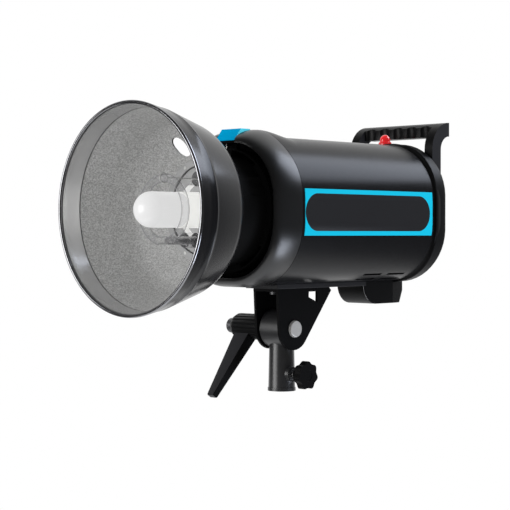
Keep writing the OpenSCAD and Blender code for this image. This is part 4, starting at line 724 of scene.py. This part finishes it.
def bezel_lip():
    """Rounded front edge of the bezel, a little proud of the casing."""
    v, f, fm = loft([ring(HALF + d, CORNER + d, REAR + y) for d, y in LIP_LINE], closed=True)
    o = mesh("bezel_lip_look", v, f, [NODE_SLOT["rear_bezel"]], fm)
    smooth(o, LIP_ANGLE)
    head_trim(o)


def dome():
    """Slave cell: a red ball on a low flange."""
    tilts = [math.radians(a) for a in range(0, 90, BALL_STEP)]
    profile = DOME_FLANGE + [(BALL_R * math.cos(a), BALL_Z + BALL_RISE * math.sin(a)) for a in tilts]
    turns = [2 * math.pi * i / DOME_SIDES for i in range(DOME_SIDES)]
    rings = [[(r * math.cos(a), DOME_Y + r * math.sin(a), AXIS + HALF + z) for a in turns] for r, z in profile]
    v, f, fm = loft(rings, caps=True)
    o = mesh("slave_cell_look", v, f, ["red_lens"], fm)
    smooth(o, DOME_ANGLE)
    stands_for(o, "slave_cell")


lamp_cup()
bezel_lip()
dome()

# The solids that no piece stands for only get their material
shown = {n for o in bpy.data.objects for n in o.get("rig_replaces", [])}
for node, o in frame["nodes"].items():
    if node not in shown:
        o.data.materials.clear()
        o.data.materials.append(M[NODE_SLOT[node]])


# Stage, light and camera, in metres

FLOOR_PLACE, FLOOR_SIZE = (0, 0.3, -1.3), 3
FLOOR_ROUGH, FLOOR_CLOUDS, FLOOR_TONES = 0.9, 3.0, (0.90, 0.94)
FLOOR_WHITE = 0.75  # share of white that the camera sees in the floor
BACKDROP = (-0.67, 0.70, 0.24)
BACKDROP_EDGE, ROOM_TONES = (0.32, 0.8), (0.06, 1.0)
AMBIENT = 0.9

COOL = (0.90, 0.97, 1.12)
PLAIN = (1.0, 1.0, 1.0)
AIM = (0, 0, 0.15)

# Softboxes: bearing from straight ahead of the light and height in degrees, distance, width, brightness and colour
SOFTBOXES = (
    ("rear_right", 154.0, 39.0, 1.6, 0.9, 4.8, COOL),
    ("low_right", 117.0, -36.0, 1.4, 0.6, 7.5, COOL),
    ("front_left", -20.0, 4.0, 1.7, 1.0, 5.8, PLAIN),
)

# The camera as fitted to the photograph
CAMERA_PLACE = (926.6, -1000.4, 143.6)  # millimetres
CAMERA_YAW, CAMERA_PITCH = 43.837, -0.817
SENSOR, FOCAL_PX, PHOTO_PX = 36.0, 1487.0, 510.0
CLIP = 0.05, 50.0


def floor():
    """Pale floor, with part of it plain white to the camera."""
    bpy.ops.mesh.primitive_plane_add(size=FLOOR_SIZE, location=FLOOR_PLACE)
    o = bpy.context.object
    o.name = "floor"
    m = bpy.data.materials.new("floor")
    m.use_nodes = True
    n, l = m.node_tree.nodes, m.node_tree.links
    p = n["Principled BSDF"]
    p.inputs["Roughness"].default_value = FLOOR_ROUGH
    noise = n.new("ShaderNodeTexNoise")
    noise.inputs["Scale"].default_value = FLOOR_CLOUDS
    ramp = map_range(n, (0.0, 1.0), FLOOR_TONES)
    l.new(noise.outputs["Fac"], ramp.inputs["Value"])
    l.new(ramp.outputs["Result"], p.inputs["Base Color"])
    path = n.new("ShaderNodeLightPath")
    share = n.new("ShaderNodeMath")
    share.operation = "MULTIPLY"
    share.inputs[1].default_value = FLOOR_WHITE
    l.new(path.outputs["Is Camera Ray"], share.inputs[0])
    white = n.new("ShaderNodeEmission")
    blend = n.new("ShaderNodeMixShader")
    l.new(share.outputs[0], blend.inputs["Fac"])
    l.new(p.outputs["BSDF"], blend.inputs[1])
    l.new(white.outputs["Emission"], blend.inputs[2])
    l.new(blend.outputs["Shader"], n["Material Output"].inputs["Surface"])
    o.data.materials.append(m)


def world():
    """White for the camera; in reflections a white backdrop behind and a dim room on the camera's side."""
    w = bpy.data.worlds.new("studio")
    bpy.context.scene.world = w
    w.use_nodes = True
    n, l = w.node_tree.nodes, w.node_tree.links
    coord = n.new("ShaderNodeTexCoord")
    toward = n.new("ShaderNodeVectorMath")
    toward.operation = "DOT_PRODUCT"
    toward.inputs[1].default_value = BACKDROP
    l.new(coord.outputs["Generated"], toward.inputs[0])
    room = map_range(n, BACKDROP_EDGE, ROOM_TONES)
    room.interpolation_type = "SMOOTHSTEP"
    l.new(toward.outputs["Value"], room.inputs["Value"])
    path = n.new("ShaderNodeLightPath")
    soft = n.new("ShaderNodeMix")
    soft.inputs["A"].default_value = AMBIENT
    l.new(path.outputs["Is Glossy Ray"], soft.inputs["Factor"])
    l.new(room.outputs["Result"], soft.inputs["B"])

    def larger(a, b):
        m = n.new("ShaderNodeMath")
        m.operation = "MAXIMUM"
        l.new(a, m.inputs[0])
        l.new(b, m.inputs[1])
        return m.outputs[0]

    seen = larger(path.outputs["Is Camera Ray"], path.outputs["Is Transmission Ray"])
    l.new(larger(soft.outputs["Result"], seen), n["Background"].inputs["Strength"])
    n["Background"].inputs["Color"].default_value = (1, 1, 1, 1)


def softboxes():
    for name, bearing, height, distance, size, radiance, tint in SOFTBOXES:
        b, h = math.radians(bearing), math.radians(height)
        away = Vector((math.sin(b) * math.cos(h), -math.cos(b) * math.cos(h), math.sin(h)))
        light = bpy.data.lights.new(name, "AREA")
        light.size = size
        light.color = tint
        light.energy = radiance * math.pi * size ** 2
        o = bpy.data.objects.new(name, light)
        o.location = Vector(AIM) + distance * away
        o.rotation_euler = away.to_track_quat("Z", "Y").to_euler()
        bpy.context.scene.collection.objects.link(o)


def camera():
    yaw, pitch = math.radians(CAMERA_YAW), math.radians(CAMERA_PITCH)
    back = Vector((math.sin(yaw) * math.cos(pitch), -math.cos(yaw) * math.cos(pitch), -math.sin(pitch)))
    right = Vector((math.cos(yaw), math.sin(yaw), 0))
    turn = Matrix((right, back.cross(right), back)).transposed()
    cam = bpy.data.cameras.new("camera")
    cam.sensor_width = SENSOR
    cam.lens = SENSOR * FOCAL_PX / PHOTO_PX
    cam.clip_start, cam.clip_end = CLIP
    o = bpy.data.objects.new("camera", cam)
    o.matrix_world = Matrix.Translation(Vector(CAMERA_PLACE) * MM) @ turn.to_4x4()
    bpy.context.scene.collection.objects.link(o)
    bpy.context.scene.camera = o


floor()
world()
softboxes()
camera()
bpy.context.scene.view_settings.view_transform = "Standard"
